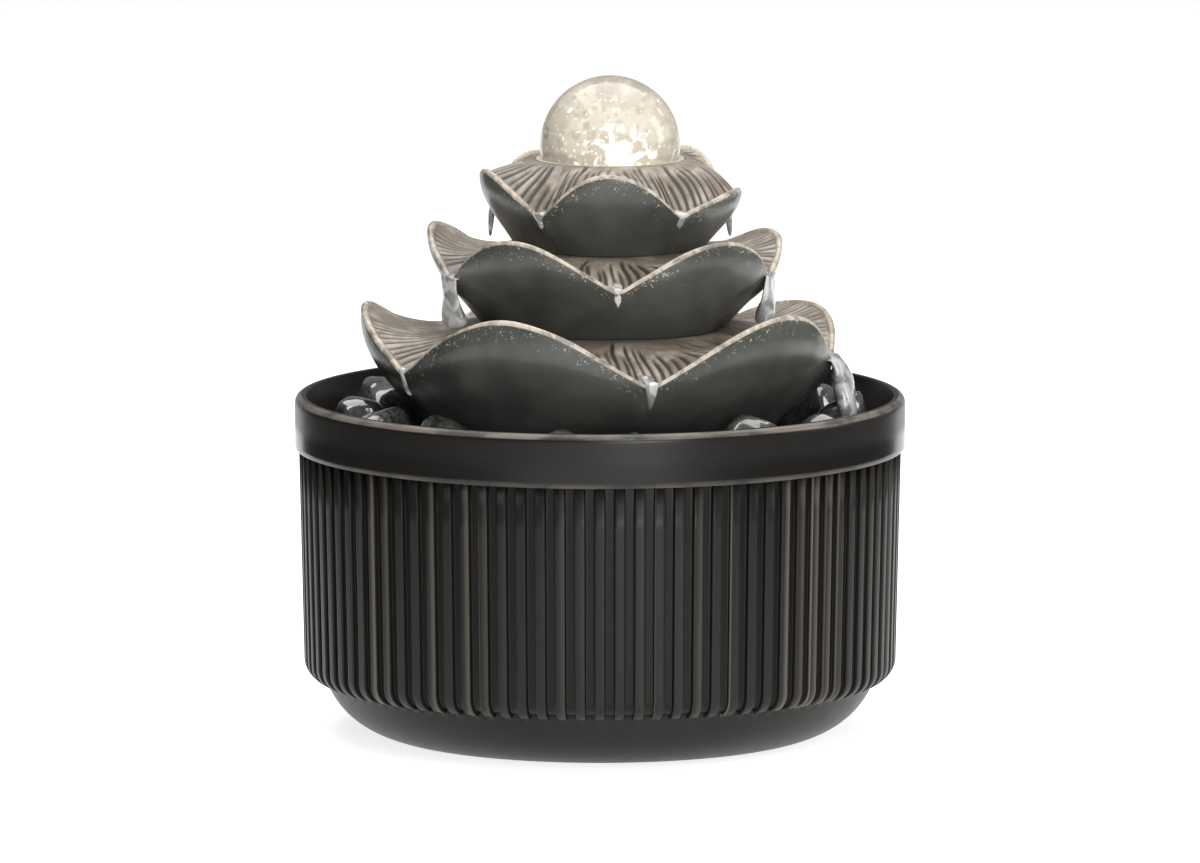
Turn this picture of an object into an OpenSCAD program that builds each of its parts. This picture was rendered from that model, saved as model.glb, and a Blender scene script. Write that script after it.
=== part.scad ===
// Tabletop water fountain: a ribbed bowl that hides a basin, a small pump and its wiring,
// a tray of loose stones, and a three-tier leaf sculpture that carries a lit glass ball.
// Millimetres. +Z is up and the front faces -Y. The origin is the middle of the underside,
// on the surface that the foot pads stand on.

/* [Bowl] */
// Diameter of the smooth rim band, the widest part of the bowl
bowl_d = 200; // [166:1:250]
// Height of the bowl, from the table to the top of the rim
bowl_h = 111.4; // [108:0.2:140]
// Height of the smooth rim band
rim_h = 17.5; // [14:0.5:20]
// Thickness of the rim at its top
rim_lip = 3.8; // [3.4:0.1:6]
// How far the rim band stands out past the ribs
rim_overhang = 1.3; // [0.5:0.1:3]
// Wall thickness of the pot behind its grooves
pot_wall = 2; // [1.6:0.1:3]
// Wall thickness of the basin
basin_wall = 2.3; // [1.8:0.1:3]
// Height of the basin floor's underside over the table
dry_h = 24; // [22:0.5:28]

/* [Ribs and foot] */
// Number of ribs round the pot
rib_count = 96; // [48:4:120]
// Share of each rib's pitch that stands out
rib_share = 0.5; // [0.35:0.01:0.65]
// Depth of the grooves between the ribs
rib_depth = 1.6; // [0.8:0.1:2.2]
// Draft of the ribbed wall, on the radius
rib_draft = 1.5; // [0:0.1:3]
// Radius of the shoulder that the ribs roll over at the bottom
shoulder_r = 6.9; // [5:0.1:8]
// Height of the smooth foot over the table
foot_h = 17.6; // [15:0.1:19]
// How far the foot runs in, from the ribs down to its flat underside
foot_inset = 17.8; // [14:0.1:20]
// Radius of the foot's rounded profile
foot_curve_r = 27; // [22:0.5:40]
// Height of the foot pads below the pot
pad_stand = 0.8; // [0.5:0.1:3]

/* [Stone tray] */
// Depth of the tray's upper face below the rim
tray_drop = 22.4; // [20:0.1:30]
// Thickness of the tray
tray_t = 3; // [2:0.5:5]
// Number of stones in the ring
stone_count = 14; // [12:1:18]
// Mean height of a stone
stone_h = 22; // [14:0.5:26]
// Radial depth of a stone
stone_depth = 25; // [16:0.5:27]
// Gap between neighbouring stones
stone_gap = 0.8; // [0.4:0.1:3]

/* [Leaf sculpture: bottom, middle and top tier] */
// Radius of each tier's foot
tier_base_r = [53, 41, 31]; // [28:0.5:60]
// Radius of the rim at the tip of a petal
tier_tip_r = [79.5, 59.5, 43.5]; // [38:0.5:84]
// Radius of the rim at a notch between two petals
tier_notch_r = [74, 54, 38.5]; // [34:0.5:80]
// Height of the flat seat on top of each tier, over its own foot
tier_seat_h = [45, 26, 29]; // [20:0.5:50]
// Radius of the seat on top of the two lower tiers
tier_seat_r = [44, 34]; // [24:0.5:50]
// Height of a petal's tip over the tier's foot
tier_tip_h = [53, 32.5, 26.5]; // [20:0.5:60]
// Height of a notch over the tier's foot
tier_notch_h = [35.5, 18.5, 14.5]; // [12:0.5:40]
// Sideways shift of each tier from the riser, as cast
tier_shift = [-1, 0, 1.3]; // [-2:0.1:2]
// Sideways shift of the riser from the middle of the bowl
riser_x = 2; // [-4:0.5:4]

/* [Ball and riser] */
// Diameter of the glass ball
ball_d = 46; // [38:0.5:56]
// Gap of water between the ball and its cup
ball_gap = 0.4; // [0.3:0.05:1]
// Inner diameter of the riser tube
riser_bore = 11.1; // [9:0.1:14]
// Wall thickness of the riser tube
riser_wall = 1.9; // [1:0.1:2.5]

/* [Pump] */
// Width of the pump's motor housing
pump_w = 40; // [36:0.5:50]
// Depth of the motor housing, front to back
pump_l = 36; // [30:0.5:44]
// Height of the motor housing
pump_h = 36; // [34:0.5:42]
// Diameter of the ceramic shaft
shaft_d = 2.5; // [2:0.1:3]
// Diameter of the impeller
impeller_d = 25; // [20:0.5:26]

/* [Fits] */
// Radial gap of a running or push fit
fit_gap = 0.05; // [0.02:0.01:0.1]
// Gap between mouldings that only drop together
loose_gap = 0.3; // [0.2:0.05:0.6]

/* [Hidden] */
STONES = [for (i = [1:stone_count]) str("stone_", i < 10 ? "0" : "", i)];

$fn = 96;
small_fn = 48;
sink = 0.5;           // how deep one shape is sunk into another that it is fused to
through = 1;          // how far a cutter runs past the face it cuts

// Bowl: radii
rim_r = bowl_d / 2;
rib_top_r = rim_r - rim_overhang;
rib_low_r = rib_top_r - rib_draft;
collar_r = rib_top_r - rib_depth;               // the pot's plain collar inside the rim band
basin_top_r = collar_r - pot_wall - loose_gap;
basin_in_r = basin_top_r - basin_wall;
tray_room_r = basin_in_r - 0.4;                 // the basin's wall where the tray lies
foot_top_r = rib_low_r - shoulder_r;
foot_flat_r = foot_top_r - foot_inset;
plate_margin = 7;
plate_r = foot_flat_r - plate_margin;
plate_flange = 6;
hatch_r = plate_r - plate_flange;               // the opening that the base plate closes
// Bowl: heights
rib_top_z = bowl_h - rim_h;
shoulder_z = foot_h + shoulder_r;
plate_t = 3;
plate_top_z = pad_stand + plate_t;
pot_floor_t = 2.6;
pot_floor_z = plate_top_z + pot_floor_t;
rim_roof = 8.2;                                 // thickness of the rim over the pot's collar
collar_z = bowl_h - rim_roof;
floor_t = 2.4;
floor_z = dry_h + floor_t;
basin_heel = 12;                                // height and inset of the basin's lower corner
basin_inset = 4;
tray_z = bowl_h - tray_drop;
ledge_z = tray_z - tray_t;
ledge_w = 3;

// Base plate fasteners and pads
screw_r = 1.5;
screw_head_r = 2.9;
screw_head_h = 1.8;
screw_circle = plate_r - plate_flange / 2 - 1;
boss_r = 3.6;
boss_h = 9;
screw_hole_l = 7.5;                             // depth of the hole in the boss
screw_len = plate_t - screw_head_h + screw_hole_l - 0.4;
pad_r = 6;
pad_sink = 1.4;
pad_circle = hatch_r - pad_r - 3;

// Power inlet, at the back of the foot
inlet_z = 14;
inlet_pocket_r = 7;
inlet_pocket_depth = 9;
inlet_face_y = foot_top_r - inlet_pocket_depth;
inlet_wall = 2.2;                               // behind the socket's flange
inlet_rim = 2.2;                                // round the pocket
inlet_flange_r = 6.3;
inlet_flange_t = 1.6;
inlet_body_r = 4.6;
inlet_body_l = 13;
inlet_bore_r = 2.85;
inlet_bore_depth = 10;
inlet_pin_r = 1.05;
inlet_pin_l = 8.5;
inlet_nut_r = 6.4;
inlet_nut_t = 2.4;
inlet_boot_r = 3.6;
inlet_boot_l = 7;
inlet_front_y = inlet_face_y + inlet_flange_t;
inlet_back_y = inlet_face_y - inlet_body_l;

// Control board, on two rails of the base plate
board_size = [40, 26, 1.6];
board_pos = [-18, 18];
board_rail_h = 4;
board_z = plate_top_z + board_rail_h;
terminal_size = [9, 8, 7];
terminal_pitch = 13;
terminal_z = board_z + board_size[2];

// Pump
riser_r = riser_bore / 2 + riser_wall;
cup_h = 5;                                      // suction cups under the pump
cup_r = 6;
pump_z = floor_z + cup_h;
pump_mid_z = pump_z + pump_h / 2;
chamber_r = impeller_d / 2 + 4.5;
chamber_wall = 2.5;
motor_y = riser_r + 0.55;                       // front face of the motor housing
chamber_front_y = -motor_y;
motor_end_y = motor_y + pump_l;
well_gap = 0.7;
rotor_r = 7.6;
rotor_l = 22;
well_l = 27;
shaft_r = shaft_d / 2;
bush_r = 3;
bush_t = 2.5;
spigot_r = riser_bore / 2 - fit_gap;
spigot_bore_r = spigot_r - 1.7;
spigot_top_z = pump_mid_z + chamber_r + 9;
grille_w = 2 * chamber_r + 2;
grille_d = 12;
grille_wall = 2;
grille_front_y = chamber_front_y - grille_d;
dial_r = 12;
dial_t = 2.4;
dial_post_r = 2.5;
slot_w = 3;
slot_h = 9;
slot_x = 7;

// Riser, tiers, cup and lamp
riser_grip = 8.5;                               // length of the push fit on the spigot
riser_z = spigot_top_z - riser_grip;
lead_r = 1.4;
tier_bore_r = riser_r + 2 * lead_r + 1.2;       // room for the riser and the lamp lead beside it
tier_z = [tray_z, tray_z + tier_seat_h[0], tray_z + tier_seat_h[0] + tier_seat_h[1]];
tier_turn = [12, 4, 36];                        // azimuth of the first notch, from the front
tier_belly = [0.25, 0.8, 0.8];                  // 0 is a slim foot, 1 is a full round cushion
tier_crease = [3.5, 3, 2.2];                    // depth of the fold between two petals
tier_dip = [2.5, 2, 0.5];                       // hollow of a petal's upper face
// Hollow of the two lower tiers: wall at the foot, thickness and width of the roof
tier_wall = [5.5, 5];
tier_roof_t = [6, 7];
tier_roof_w = [16, 8];
tip_lift = [[1.5, -4.4, -2, -1.7, 2.4], [0.3, -3.1, -1, 0.3, 1.5], [-6, 3, 2, 0.5, 2]];
petals = 5;
petal_a = 360 / petals;
lip_r = 1.1;                                    // roundness of a petal's edge
ball_r = ball_d / 2;
cup_in_r = ball_r + ball_gap;
ball_x = riser_x + tier_shift[2];
lamp_z = tier_z[2] + 0.8;
lamp_board_t = 1.6;
lamp_chip_h = 1.2;
lamp_lens_t = 2;
lamp_top_z = lamp_z + lamp_board_t + lamp_chip_h + lamp_lens_t;
lamp_board_in_r = riser_r + 0.4;
lamp_board_r = 16;
cup_collar_r = riser_r + 2;
cup_collar_h = 2;
cup_foot_r = 11;
cup_floor_z = lamp_top_z + 0.2 + cup_collar_h;
cup_floor_t = 1.8;
ball_z = cup_floor_z + cup_floor_t + cup_in_r;
cup_edge_z = tier_z[2] + tier_seat_h[2];
cup_step_z = cup_edge_z - 10;                   // the cup is wide above this and a cone below
cup_wall = 1.2;
cone_wall = 0.95;
cup_out_r = cup_bore_r(cup_edge_z) + cup_wall;
cup_step_r = cup_bore_r(cup_step_z) + cone_wall;
lamp_room_r = cup_step_r + loose_gap;           // room for the lamp inside the top tier
well_r = cup_out_r + loose_gap;                 // the well that the cup stands in
riser_top_z = cup_floor_z;
jet_r = 3;
collar_t = 4;

// Lamp connector, standing on the motor housing
plug_y = motor_y + 10;
socket_z = pump_z + pump_h;
socket_r = 6.3;
socket_h = 13;
socket_floor = 3;
socket_bore_r = 4.6;
contact_r = 0.6;
contact_x = 1.6;
plug_nose_r = socket_bore_r - fit_gap;
plug_body_r = 5.6;
plug_body_h = 9;
plug_tail_r = 2.6;
plug_tail_h = 7;
socket_mouth_z = socket_z + socket_h;
plug_top_z = socket_mouth_z + plug_body_h + plug_tail_h;

// Grommet in the basin floor, with a hole for each of two leads
grommet_at = [-23, 56];
grommet_r = 7;
grommet_lip_r = 9;
grommet_lip_t = 2;
grommet_hole_x = 3.2;
pump_hole = [grommet_at[0] + grommet_hole_x, grommet_at[1]];
lamp_hole = [grommet_at[0] - grommet_hole_x, grommet_at[1]];

// Routes of the leads held inside, from end to end
terminal_y = board_pos[1] + board_size[1] / 2;
terminal_x = [for (i = [-1:1]) board_pos[0] + i * terminal_pitch];
lead_in_z = terminal_z + terminal_size[2] / 2;
inlet_route = [
    [0, inlet_back_y - inlet_boot_l, inlet_z], [0, inlet_back_y - inlet_boot_l - 6, inlet_z],
    [-2, 46, inlet_z], [terminal_x[2], 38, lead_in_z], [terminal_x[2], terminal_y, lead_in_z]];
pump_route = [
    [terminal_x[1], terminal_y, lead_in_z], [terminal_x[1], 37, lead_in_z],
    [-19, 46, 14], [pump_hole[0], 55, 17], [pump_hole[0], pump_hole[1], 22],
    [pump_hole[0], pump_hole[1], floor_z + 4], [-19, 57, 38], [-13, 59, 48],
    [-5, 57, 55], [riser_x, 52, pump_mid_z + 8], [riser_x, motor_end_y, pump_mid_z + 8]];
motor_x = riser_x - pump_w / 2;
lamp_supply_route = [
    [terminal_x[0], terminal_y, lead_in_z], [terminal_x[0], 37, lead_in_z],
    [-30, 46, 14], [lamp_hole[0], 55, 17], [lamp_hole[0], lamp_hole[1], 22],
    [lamp_hole[0], lamp_hole[1], floor_z + 4], [-26, 55, 40], [motor_x - 7, 49, 56],
    [motor_x - 4, 38, socket_z + 2], [motor_x + 1, 24, socket_z + 3],
    [-10, plug_y, socket_z + 3], [riser_x - socket_r, plug_y, socket_z + 3]];
lamp_lead_y = riser_r + lead_r + 0.5;
lamp_route = [
    [riser_x, plug_y, plug_top_z], [riser_x, plug_y, plug_top_z + 5],
    [riser_x, plug_y - 4, plug_top_z + 14], [riser_x, lamp_lead_y, plug_top_z + 24],
    [riser_x, lamp_lead_y, tier_z[1] + 2], [riser_x, lamp_lead_y, lamp_z]];

// ---- Functions -------------------------------------------------------------------------

// Centre of the circle of radius r through p and q, on the left going from p to q
function arc_centre(p, q, r) =
    let (d = q - p, half = norm(d) / 2, h = sqrt(r * r - half * half))
    (p + q) / 2 + [-d[1], d[0]] / norm(d) * h;

// Points on a circle round c, from angle a to angle b
function arc(c, r, a, b, n) = [for (i = [0:n]) let (t = a + (b - a) * i / n) c + r * [cos(t), sin(t)]];

// Radius of the cup's round hollow at height z
function cup_bore_r(z) = sqrt(cup_in_r * cup_in_r - (z - ball_z) * (z - ball_z));

function direction(c, p) = atan2(p[1] - c[1], p[0] - c[0]);

// Rounded profile of the foot, let in by the distance inset, from its flat up to the ribs
function foot_curve(inset) =
    let (p = [foot_flat_r, pad_stand], q = [foot_top_r, foot_h],
         c = arc_centre(p, q, foot_curve_r))
    arc(c, foot_curve_r - inset, direction(c, p), direction(c, q), 8);

// Profile of the ribbed wall, let in by the distance inset, from angle low on the shoulder's
// round up to the height top
function wall_curve(inset, low = -90, top = rib_top_z) = concat(
    arc([foot_top_r, shoulder_z], shoulder_r - inset, low, 0, 6),
    [[rib_top_r - inset, top]]);

function reversed(list) = [for (k = [len(list) - 1:-1:0]) list[k]];

function smooth(u) = u * u * (3 - 2 * u);

// How far out a petal stands at angle a past the first notch: 0 in a notch, 1 at a tip
function petal(a) = abs(sin(petals * a / 2));
// How high it stands there
function petal_rise(a) = pow(petal(a), 1.35);
function petal_index(a) = floor(a / petal_a) % petals;

// Profile of one tier at angle a past its first notch, as [radius, height], from the outer
// edge of its foot, up the petal, over its edge, in to the seat, down the bore and the hollow
function tier_profile(i, a, hollow) =
    let (c = petal(a),
         foot = tier_base_r[i] - tier_crease[i] * (1 - c),
         rim = tier_notch_r[i] + (tier_tip_r[i] - tier_notch_r[i]) * c,
         tip = tier_tip_h[i] + tip_lift[i][petal_index(a)],
         top = tier_notch_h[i] + (tip - tier_notch_h[i]) * petal_rise(a),
         seat = tier_seat_h[i],
         seat_r = i < 2 ? tier_seat_r[i] : well_r + 0.04,
         edge = rim - 2 * lip_r)
    concat(
        [for (k = [0:7]) let (
            u = k / 8,
            slim = smooth(min(1, u / 0.92)),
            swell = (1 - tier_belly[i]) * slim + tier_belly[i] * sin(90 * u),
            fold = tier_crease[i] * (1 - c) * sin(180 * u))
            [foot + (rim - foot) * swell - fold, (top - lip_r) * u]],
        [for (k = [0:3]) [rim - lip_r + lip_r * cos(60 * k), top - lip_r + lip_r * sin(60 * k)]],
        [for (k = [1:6]) let (
            s = 1 - k / 6,
            rise = pow(s, 1.2 + 1.2 * c))
            [seat_r + (edge - seat_r) * s,
             seat + (top - lip_r - seat) * rise - tier_dip[i] * c * sin(180 * s)]],
        hollow);

// A tier's inner points: the bore through the seat, then the hollow under it
function tier_hollow(i) =
    let (wall_r = tier_base_r[i] - tier_crease[i] - tier_wall[i],
         roof_h = tier_seat_h[i] - tier_roof_t[i],
         roof_r = tier_bore_r + tier_roof_w[i])
    [[tier_bore_r, tier_seat_h[i]], [tier_bore_r, roof_h], [roof_r, roof_h],
     [wall_r, roof_h * 0.72], [wall_r, 0]];

// The top tier's inner points: the well of the ball's cup, then the lamp's chamber
function top_well() =
    let (step = cup_step_z - tier_z[2])
    [[well_r, tier_seat_h[2]], [well_r, step], [lamp_room_r, step], [lamp_room_r, 0]];

// Repeatable wobble from -1 to 1
function wobble(i, k) = sin(137.5 * i + 71 * k + 23 * i * k);

// Smooth curve through the points of a route
function at(p, i) = p[max(0, min(len(p) - 1, i))];
function spline_point(p, i, t) =
    let (a = at(p, i - 1), b = at(p, i), c = at(p, i + 1), d = at(p, i + 2))
    0.5 * (2 * b + (c - a) * t + (2 * a - 5 * b + 4 * c - d) * t * t
        + (3 * b - a - 3 * c + d) * t * t * t);
function spline(p, n) = concat(
    [for (i = [0:len(p) - 2], k = [0:n - 1]) spline_point(p, i, k / n)], [p[len(p) - 1]]);

function unit(v) = v / norm(v);
// Direction of travel at each point; the ends point straight along the route's own ends
function heading(p, i, ends) =
    i == 0 ? ends[0] : i == len(p) - 1 ? ends[1] : unit(p[i + 1] - p[i - 1]);
// Side vectors carried along the path without twist
function sides(p, i, ends, last) =
    i == len(p) ? [] :
    let (t = heading(p, i, ends), s = unit(last - (last * t) * t))
    concat([s], sides(p, i + 1, ends, s));

// ---- Shared shapes ---------------------------------------------------------------------

module at_xy(p, z) { translate([p[0], p[1], z]) children(); }

// Runs along +Y from the given point
module along_y(p) { translate(p) rotate([-90, 0, 0]) children(); }

// Box with rounded upright corners, centred in X, from y = 0
module rounded_box(w, d, h, r) {
    linear_extrude(h) union() {
        translate([-w / 2 + r, 0]) square([w - 2 * r, d]);
        translate([-w / 2, r]) square([w, d - 2 * r]);
        for (x = [-1, 1], y = [r, d - r]) translate([x * (w / 2 - r), y]) circle(r, $fn = small_fn);
    }
}

// Round lead along a route
module lead(route, r) {
    path = spline(route, 4);
    last = len(route) - 1;
    ends = [unit(route[1] - route[0]), unit(route[last] - route[last - 1])];
    side = sides(path, 0, ends, [1, 0.13, 0.07]);
    rings = len(path);
    n = 8;
    points = [for (i = [0:rings - 1], k = [0:n - 1])
        let (s = side[i], u = cross(heading(path, i, ends), s))
        path[i] + r * (cos(360 * k / n) * s + sin(360 * k / n) * u)];
    walls = [for (i = [0:rings - 2], k = [0:n - 1])
        let (a = i * n + k, b = i * n + (k + 1) % n)
        each [[a, a + n, b], [b, a + n, b + n]]];
    caps = [[for (k = [0:n - 1]) k], [for (k = [0:n - 1]) rings * n - 1 - k]];
    polyhedron(points, concat(walls, caps));
}

// One casting of the sculpture: its profile carried round the riser
module leaf_tier(i, inner) {
    n = 60;
    m = len(tier_profile(i, 0, inner));
    points = [for (k = [0:n - 1])
        let (a = 360 * k / n, az = tier_turn[i] + a)
        for (p = tier_profile(i, a, inner)) [p[0] * sin(az), -p[0] * cos(az), p[1]]];
    faces = [for (k = [0:n - 1], j = [0:m - 1])
        let (a = k * m + j, b = k * m + (j + 1) % m,
             c = ((k + 1) % n) * m + j, d = ((k + 1) % n) * m + (j + 1) % m)
        each [[a, b, c], [c, b, d]]];
    translate([riser_x + tier_shift[i], 0, tier_z[i]]) polyhedron(points, faces);
}

// One loose stone of the ring, flat where it lies on the tray
module stone(i) {
    pitch = 360 / stone_count;
    az = pitch * (i - 0.5) + 2 * wobble(i, 1);
    h = stone_h * (1 + 0.16 * wobble(i, 2));
    deep = stone_depth / 2 * (0.94 + 0.06 * wobble(i, 3));
    wall_r = basin_in_r - 1.2;
    mid_r = wall_r - stone_depth / 2 - 0.8 + 0.6 * wobble(i, 4);
    wide = mid_r * sin(pitch / 2 - 2) - stone_gap / 2 + 0.4 * wobble(i, 5);
    n = 16;
    rings = 8;
    low = -50;
    base = sin(low);
    points = concat(
        [for (j = [0:rings - 1], k = [0:n - 1]) let (
            lat = low + (90 - low) * j / rings,
            a = 360 * k / n,
            bump = 1 - 0.03 * (1 + sin(3 * a + 50 * i)) - 0.015 * (1 + cos(2 * lat + 90 * i)),
            square = pow(pow(abs(cos(a)), 2.6) + pow(abs(sin(a)), 2.6), -1 / 2.6))
            [wide * cos(lat) * cos(a) * bump * min(square, 1.1) * 0.97,
             deep * cos(lat) * sin(a) * bump * min(square, 1.1) * 0.97,
             h * (sin(lat) - base) / (1 - base)]],
        [[0, 0, h], [0, 0, 0]]);
    top = rings * n;
    bottom = top + 1;
    faces = concat(
        [for (j = [0:rings - 2], k = [0:n - 1])
            let (a = j * n + k, b = j * n + (k + 1) % n)
            each [[a, a + n, b], [b, a + n, b + n]]],
        [for (k = [0:n - 1])
            let (a = k, b = (k + 1) % n, c = (rings - 1) * n)
            each [[a, b, bottom], [c + b, c + a, top]]]);
    color("#3c3d3a") rotate([0, 0, az]) translate([0, -mid_r, tray_z]) polyhedron(points, faces);
}

// ---- Bowl ------------------------------------------------------------------------------

module outer_pot() {
    skin = rib_depth + pot_wall;
    outside = concat([[0, pad_stand]], foot_curve(0), wall_curve(rib_depth));
    inside = [for (p = concat(foot_curve(skin), wall_curve(skin))) if (p[1] > pot_floor_z) p];
    color("#2b2a28") difference() {
        union() {
            rotate_extrude() polygon(concat(
                outside, [[collar_r, collar_z], [collar_r - pot_wall, collar_z]],
                reversed(inside), [[inside[0][0] - 1, pot_floor_z], [0, pot_floor_z]]));
            for (k = [0:rib_count - 1]) pot_rib(360 * k / rib_count);
            for (k = [0:3]) rotate([0, 0, 90 * k + 45]) at_xy([screw_circle, 0], plate_top_z)
                cylinder(h = boss_h, r = boss_r, $fn = small_fn);
            // Housing of the power inlet, kept inside the pot's own outline
            intersection() {
                along_y([0, inlet_face_y - inlet_wall, inlet_z])
                    cylinder(h = 40, r = inlet_pocket_r + inlet_rim);
                rotate_extrude() polygon(concat([[0, pad_stand + sink]], foot_curve(sink),
                    wall_curve(rib_depth + sink), [[0, rib_top_z]]));
            }
        }
        // Hatch, and the rebate that the base plate sits in
        translate([0, 0, pad_stand - through]) {
            cylinder(h = plate_t + through, r = plate_r + loose_gap);
            cylinder(h = 20, r = hatch_r);
        }
        for (k = [0:3]) rotate([0, 0, 90 * k + 45]) at_xy([screw_circle, 0], plate_top_z - through)
            cylinder(h = screw_hole_l + through, r = screw_r, $fn = small_fn);
        along_y([0, inlet_face_y, inlet_z]) cylinder(h = 40, r = inlet_pocket_r);
        along_y([0, inlet_face_y - inlet_wall - through, inlet_z])
            cylinder(h = 40, r = inlet_body_r + fit_gap);
    }
}

// One rib, sunk into the wall behind it and rolled over the shoulder down to the foot. It ends
// just short of the rim.
module pot_rib(a) {
    width = 360 / rib_count * rib_share;
    top = rib_top_z - fit_gap;
    outer = wall_curve(0, -80, top);
    inner = wall_curve(rib_depth + sink, -90, top);
    rotate([0, 0, a - width / 2]) rotate_extrude(angle = width)
        polygon(concat([[foot_top_r - sink, outer[0][1]]], outer, reversed(inner),
            [[foot_top_r - sink, inner[0][1]]]));
}

module basin() {
    low_r = basin_top_r - basin_inset;
    ledge_in_r = basin_in_r - ledge_w;
    corner = 2.6;
    bevel = 0.5;
    color("#1d1d1c") difference() {
        rotate_extrude() polygon(concat(
            [[0, dry_h], [low_r - basin_heel, dry_h], [low_r, dry_h + basin_heel],
             [basin_top_r, rib_top_z], [basin_top_r, collar_z],
             [collar_r + loose_gap, collar_z], [collar_r + loose_gap, rib_top_z],
             [rim_r - bevel, rib_top_z], [rim_r, rib_top_z + bevel]],
            arc([rim_r - corner, bowl_h - corner], corner, 0, 90, 6),
            [[rim_r - rim_lip + bevel, bowl_h], [rim_r - rim_lip, bowl_h - bevel],
             [basin_in_r, rib_top_z + 4], [tray_room_r, tray_z - 1],
             [tray_room_r, ledge_z], [ledge_in_r, ledge_z],
             [basin_in_r - 1, ledge_z - 2 * ledge_w],
             [low_r - basin_wall, floor_z + basin_heel],
             [low_r - basin_wall - basin_heel + 1, floor_z], [0, floor_z]]));
        at_xy(grommet_at, dry_h - through) cylinder(h = 10, r = grommet_r, $fn = small_fn);
    }
}

module base_plate() {
    rail_l = board_size[0] + 6;
    color("#242423") {
        difference() {
            translate([0, 0, pad_stand]) cylinder(h = plate_t, r = plate_r);
            for (k = [0:3]) {
                rotate([0, 0, 90 * k + 45]) at_xy([screw_circle, 0], 0) {
                    cylinder(h = 20, r = screw_r + 0.2, $fn = small_fn);
                    cylinder(h = pad_stand + screw_head_h, r = screw_head_r + 0.3, $fn = small_fn);
                }
                rotate([0, 0, 90 * k]) at_xy([pad_circle, 0], 0)
                    cylinder(h = pad_stand + pad_sink, r = pad_r, $fn = small_fn);
            }
        }
        for (y = [-1, 1])
            translate([board_pos[0] - rail_l / 2,
                board_pos[1] + y * (board_size[1] / 2 - 3) - 1.5, plate_top_z - sink])
                cube([rail_l, 3, board_rail_h + sink]);
    }
}

module base_screws() {
    color("silver") for (k = [0:3])
        rotate([0, 0, 90 * k + 45]) at_xy([screw_circle, 0], pad_stand + screw_head_h) {
            cylinder(h = screw_len, r = screw_r, $fn = small_fn);
            difference() {
                translate([0, 0, 0.2 - screw_head_h])
                    cylinder(h = screw_head_h - 0.2, r = screw_head_r, $fn = small_fn);
                for (a = [0, 90]) rotate([0, 0, a])
                    translate([-1.6, -0.35, -screw_head_h]) cube([3.2, 0.7, 1.1]);
            }
        }
}

module foot_pads() {
    soft = 0.4;
    color("#161616") for (k = [0:3]) rotate([0, 0, 90 * k]) translate([pad_circle, 0, 0])
        rotate_extrude($fn = small_fn) polygon([[0, 0], [pad_r - soft, 0], [pad_r, soft],
            [pad_r, pad_stand + pad_sink], [0, pad_stand + pad_sink]]);
}

// ---- Power inlet -----------------------------------------------------------------------

module inlet_socket() {
    color("#111111") difference() {
        union() {
            along_y([0, inlet_back_y, inlet_z]) cylinder(h = inlet_body_l + 0.2, r = inlet_body_r);
            along_y([0, inlet_face_y, inlet_z]) cylinder(h = inlet_flange_t, r = inlet_flange_r);
        }
        along_y([0, inlet_front_y - inlet_bore_depth, inlet_z]) cylinder(h = 20, r = inlet_bore_r);
    }
}

module inlet_pin() {
    dome = 0.35;
    color("silver") along_y([0, inlet_front_y - inlet_bore_depth, inlet_z])
        rotate_extrude() polygon([[0, 0], [inlet_pin_r, 0], [inlet_pin_r, inlet_pin_l],
            [inlet_pin_r - dome, inlet_pin_l + dome], [0, inlet_pin_l + dome]]);
}

module inlet_nut() {
    color("silver") difference() {
        along_y([0, inlet_face_y - inlet_wall - inlet_nut_t, inlet_z])
            cylinder(h = inlet_nut_t, r = inlet_nut_r, $fn = 6);
        along_y([0, inlet_back_y, inlet_z]) cylinder(h = 40, r = inlet_body_r);
    }
}

module inlet_boot() {
    color("#181818") along_y([0, inlet_back_y - inlet_boot_l, inlet_z])
        rotate_extrude() polygon([[0, 0], [lead_r + 0.6, 0], [inlet_boot_r, inlet_boot_l - 2],
            [inlet_boot_r, inlet_boot_l], [0, inlet_boot_l]]);
}

// ---- Wiring in the dry space -----------------------------------------------------------

module control_board() {
    color("#24523a") difference() {
        translate([board_pos[0] - board_size[0] / 2, board_pos[1] - board_size[1] / 2, board_z])
            cube(board_size);
        for (x = [-1, 1]) at_xy([board_pos[0] + x * (board_size[0] / 2 - 3), board_pos[1]], board_z)
            translate([0, 0, -through]) cylinder(h = 4, r = 1.4, $fn = small_fn);
    }
}

module board_terminals() {
    color("#2f6f9a") for (x = terminal_x) difference() {
        translate([x - terminal_size[0] / 2, terminal_y - terminal_size[1], terminal_z])
            cube(terminal_size);
        for (s = [-1, 1])
            at_xy([x + s * 2.1, terminal_y - terminal_size[1] / 2], terminal_z + terminal_size[2] - 1)
                cylinder(h = 2, r = 1.5, $fn = small_fn);
    }
}

module floor_grommet() {
    color("#151515") difference() {
        at_xy(grommet_at, 0) rotate_extrude($fn = small_fn) polygon([
            [0, dry_h - grommet_lip_t], [grommet_lip_r - 1, dry_h - grommet_lip_t],
            [grommet_lip_r, dry_h], [grommet_r, dry_h], [grommet_r, floor_z],
            [grommet_lip_r, floor_z], [grommet_lip_r - 1, floor_z + grommet_lip_t],
            [0, floor_z + grommet_lip_t]]);
        for (p = [pump_hole, lamp_hole]) at_xy(p, 0)
            cylinder(h = floor_z + 20, r = lead_r + 0.1, $fn = small_fn);
    }
}

module inlet_lead() { color("#141414") lead(inlet_route, lead_r); }
module pump_lead() { color("#141414") lead(pump_route, lead_r); }
module lamp_supply_lead() { color("#141414") lead(lamp_supply_route, lead_r); }

// ---- Pump ------------------------------------------------------------------------------

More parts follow.
